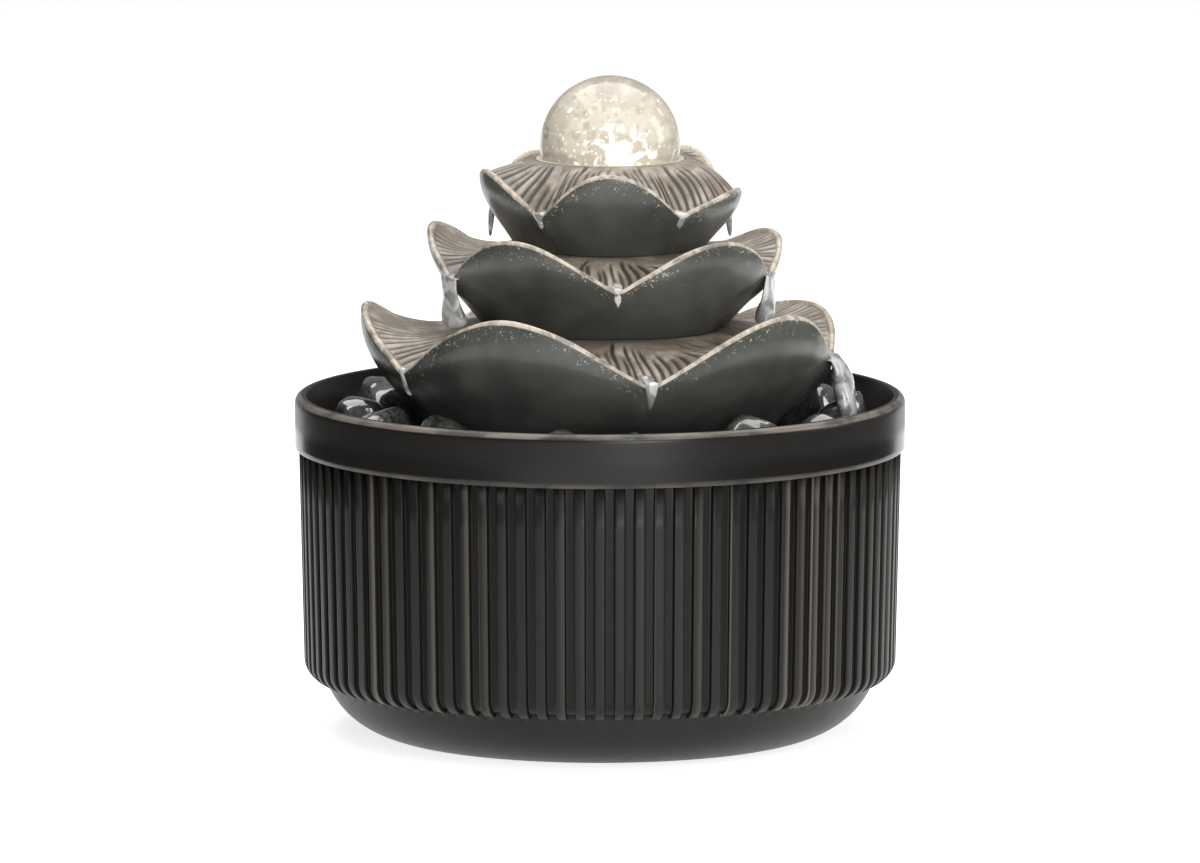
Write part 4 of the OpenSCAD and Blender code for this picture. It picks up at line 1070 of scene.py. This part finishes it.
class FOUNTAIN_OT_fittings(bpy.types.Operator):
    """Finishes of the pieces that keep their CAD shape: lamp, cup, tray, pump and wiring"""

    bl_idname = "fountain.fittings"
    bl_label = "Cup, lamp, pump and wiring"

    # Each plain finish: its name, colour and roughness, and the pieces that have it
    plain = (
        ("rubber", (0.018, 0.018, 0.018), 0.75, "foot_pads floor_grommet suction_cups inlet_boot"),
        ("lead_sheath", (0.016, 0.016, 0.017), 0.5,
         "inlet_lead pump_lead lamp_supply_lead lamp_lead"),
        ("inner_plastic", (0.030, 0.030, 0.029), 0.55, "base_plate stone_tray shaft_bushes"),
        ("connector_plastic", (0.014, 0.014, 0.015), 0.3, "inlet_socket lamp_socket lamp_plug"),
        ("pump_plastic", (0.022, 0.024, 0.027), 0.4, "pump_motor pump_cover intake_grille"),
        ("dial_plastic", (0.30, 0.32, 0.33), 0.45, "flow_dial"),
        ("seal_rubber", (0.28, 0.045, 0.03), 0.6, "cover_seal"),
        ("shaft_ceramic", (0.80, 0.78, 0.72), 0.2, "pump_shaft"),
        ("magnet_black", (0.035, 0.035, 0.038), 0.6, "rotor_magnet"),
        ("impeller_plastic", (0.72, 0.72, 0.69), 0.4, "impeller_wheel"),
        ("riser_plastic", (0.55, 0.58, 0.58), 0.3, "riser_tube riser_collar"),
        ("lamp_board_white", (0.78, 0.78, 0.74), 0.35, "lamp_board"),
        ("terminal_plastic", (0.03, 0.10, 0.26), 0.4, "board_terminals"),
    )

    def execute(self, context):
        ball = context.scene.fountain_ball
        nodes = frame["nodes"]
        for name, tone, rough, pieces in self.plain:
            finish = moulded(name, tone, rough)
            for piece in pieces.split():
                cover(nodes[piece], finish)
        steel = metal("steel", (0.62, 0.61, 0.58))
        for piece in ("base_screws", "inlet_nut", "inlet_pin"):
            cover(nodes[piece], steel)
        cover(nodes["lamp_contacts"], metal("contact_metal", (0.83, 0.62, 0.25), 0.2))
        cover(nodes["control_board"], self.board())
        cover(nodes["intake_sponge"], self.sponge())
        cover(nodes["lamp_chips"], glow("lamp_chip", ball, 1.5))
        cover(nodes["lamp_lens"], glow("lamp_lens", ball, 0.35))
        cover(nodes["ball_cup"], self.cup(ball))
        return {"FINISHED"}

    def board(self):
        """Solder mask with copper tracks: bands of a stepped pattern show through it."""
        finish = Finish("circuit_board", Specular_IOR_Level=0.5, Roughness=0.3)
        track = finish.cells(260, "DISTANCE_TO_EDGE").above(0.05, 0.08)
        tone = finish.mix(track, (0.05, 0.22, 0.07), (0.012, 0.10, 0.03))
        finish.put(Base_Color=tone, Normal=finish.bump(track, 0.03 * MM))
        return finish

    def sponge(self):
        """Open foam: small dark cells with lighter walls."""
        finish = Finish("sponge", Roughness=0.95)
        cell = finish.cells(700)
        finish.put(
            Base_Color=finish.mix(cell.above(0.1, 0.6), (0.012, 0.013, 0.012), (0.06, 0.065, 0.06)),
            Normal=finish.bump(cell, 0.6 * MM),
        )
        return finish

    def cup(self, ball):
        """Milky plastic that the lamp shines through."""
        finish = Finish(
            "cup_plastic", IOR=1.46, Transmission_Weight=0.5, Emission_Strength=0.14,
            Specular_IOR_Level=0.5,
        )
        cloud = finish.noise(120, 3)
        finish.put(
            Base_Color=finish.mix(cloud, ball.glass, ball.glow),
            Emission_Color=finish.mix(cloud, ball.glow, (1.0, 0.96, 0.86)),
            Roughness=0.2 + 0.2 * cloud,
        )
        return finish


class FOUNTAIN_OT_stage(bpy.types.Operator):
    """Pale floor, soft studio lights and the camera"""

    bl_idname = "fountain.stage"
    bl_label = "Stage and camera"

    lighting_level, backdrop_level = 0.22, 1.05
    # Each light's name, place, height of its aim on the middle line, sides and power
    lights = (
        ("overhead", (0, 0.2, 1.3), 0.15, (1.5, 1.5), 20),
        ("front_softbox", (0.55, -2.0, 0.38), 0.08, (0.8, 0.5), 16),
        ("high_softbox", (0.5, -1.6, 1.3), 0.1, (0.6, 0.6), 8),
        ("left_softbox", (-0.9, -0.6, 1.3), 0.1, (0.3, 0.9), 4),
        ("right_softbox", (1.5, 0.1, 0.7), 0.1, (0.4, 0.9), 6),
    )

    def execute(self, context):
        s = context.scene.fountain_stage
        scene = context.scene
        scene.view_settings.view_transform = "Standard"
        camera = bpy.data.cameras.new("camera")
        camera.lens = s.lens
        camera.sensor_width = 36
        camera.clip_end = 60
        stand = bpy.data.objects.new("camera", camera)
        back, up = s.distance * math.cos(s.elevation), s.distance * math.sin(s.elevation)
        stand.location = (0, -back, s.aim + up)
        stand.rotation_euler = (math.pi / 2 - s.elevation, 0, 0)
        scene.collection.objects.link(stand)
        scene.camera = stand
        self.floor()
        scene.world = self.sky()
        for light in self.lights:
            self.light(*light)
        self.card("left_card", -0.42, 0.45)
        self.card("right_card", 0.46, 0.09)
        return {"FINISHED"}

    def sky(self):
        """A white surround that lights the fountain less than it shows."""
        world = bpy.data.worlds.new("studio")
        world.use_nodes = True
        nodes, links = world.node_tree.nodes, world.node_tree.links
        background = nodes["Background"]
        background.inputs["Color"].default_value = (1, 0.99, 0.97, 1)
        path = nodes.new("ShaderNodeLightPath")
        level = nodes.new("ShaderNodeMapRange")
        level.inputs["To Min"].default_value = self.lighting_level
        level.inputs["To Max"].default_value = self.backdrop_level
        links.new(path.outputs["Is Camera Ray"], level.inputs["Value"])
        links.new(level.outputs[0], background.inputs["Strength"])
        return world

    def floor(self):
        """A wide white floor that also shines, so it shows as white as the surround."""
        half = 8.0
        corners = [(-half, -half, 0), (half, -half, 0), (half, half, 0), (-half, half, 0)]
        floor = self.sheet("floor", corners)
        finish = Finish(
            "floor_white", Specular_IOR_Level=0.1, Roughness=0.9, Emission_Color=(1, 1, 1, 1),
            Emission_Strength=0.8,
        )
        cloud = finish.noise(0.7, 2)
        finish.put(Base_Color=finish.mix(cloud, (0.6, 0.6, 0.6), (0.64, 0.64, 0.64)))
        cover(floor, finish)

    def sheet(self, name, corners):
        """A flat four-cornered sheet that belongs to the stage."""
        mesh = bpy.data.meshes.new(name)
        mesh.from_pydata(corners, [], [(0, 1, 2, 3)])
        sheet = bpy.data.objects.new(name, mesh)
        bpy.context.scene.collection.objects.link(sheet)
        return sheet

    def card(self, name, x, height):
        """A black card beside the fountain that the camera doesn't see, so the gloss is darker."""
        corners = [(x, -1.1, 0), (x, 0.6, 0), (x, 0.6, height), (x, -1.1, height)]
        card = self.sheet(name, corners)
        cover(card, Finish("card_black", Base_Color=(0.01, 0.01, 0.01, 1), Roughness=1.0))
        card.visible_camera = False

    def light(self, name, place, aim, size, power):
        """A soft rectangle of light, its sides in metres and its power in watts."""
        data = bpy.data.lights.new(name, "AREA")
        data.shape = "RECTANGLE"
        data.size, data.size_y = size
        data.energy = power
        lamp = bpy.data.objects.new(name, data)
        lamp.location = place
        direction = Vector((0, 0, aim)) - Vector(place)
        lamp.rotation_euler = direction.to_track_quat("-Z", "Y").to_euler()
        bpy.context.scene.collection.objects.link(lamp)


class FOUNTAIN_PT_panel(bpy.types.Panel):
    """Lists the pieces of the fountain"""

    bl_label = "Tabletop fountain"
    bl_idname = "FOUNTAIN_PT_panel"
    bl_space_type = "VIEW_3D"
    bl_region_type = "UI"
    bl_category = "Fountain"

    def draw(self, context):
        for operator in OPERATORS:
            self.layout.operator(operator.bl_idname)


SETTINGS = {
    "fountain_bowl": BowlSettings,
    "fountain_leaf": LeafSettings,
    "fountain_stone": StoneSettings,
    "fountain_ball": BallSettings,
    "fountain_stage": StageSettings,
}
OPERATORS = (
    FOUNTAIN_OT_stage,
    FOUNTAIN_OT_pot,
    FOUNTAIN_OT_basin,
    FOUNTAIN_OT_leaf_tiers,
    FOUNTAIN_OT_stones,
    FOUNTAIN_OT_ball,
    FOUNTAIN_OT_water,
    FOUNTAIN_OT_fittings,
)


def register():
    """Adds the settings to the scene and the operators and the panel to Blender."""
    for settings in SETTINGS.values():
        bpy.utils.register_class(settings)
    for operator in OPERATORS:
        bpy.utils.register_class(operator)
    bpy.utils.register_class(FOUNTAIN_PT_panel)
    for name, settings in SETTINGS.items():
        setattr(bpy.types.Scene, name, PointerProperty(type=settings))


def unregister():
    """Takes away what register added."""
    for name in SETTINGS:
        delattr(bpy.types.Scene, name)
    bpy.utils.unregister_class(FOUNTAIN_PT_panel)
    for cls in (*OPERATORS, *SETTINGS.values()):
        bpy.utils.unregister_class(cls)


def main():
    """Builds the fountain piece by piece."""
    register()
    for operator in OPERATORS:
        group, name = operator.bl_idname.split(".")
        getattr(getattr(bpy.ops, group), name)()
    bpy.context.view_layer.update()


if __name__ == "__main__":
    main()
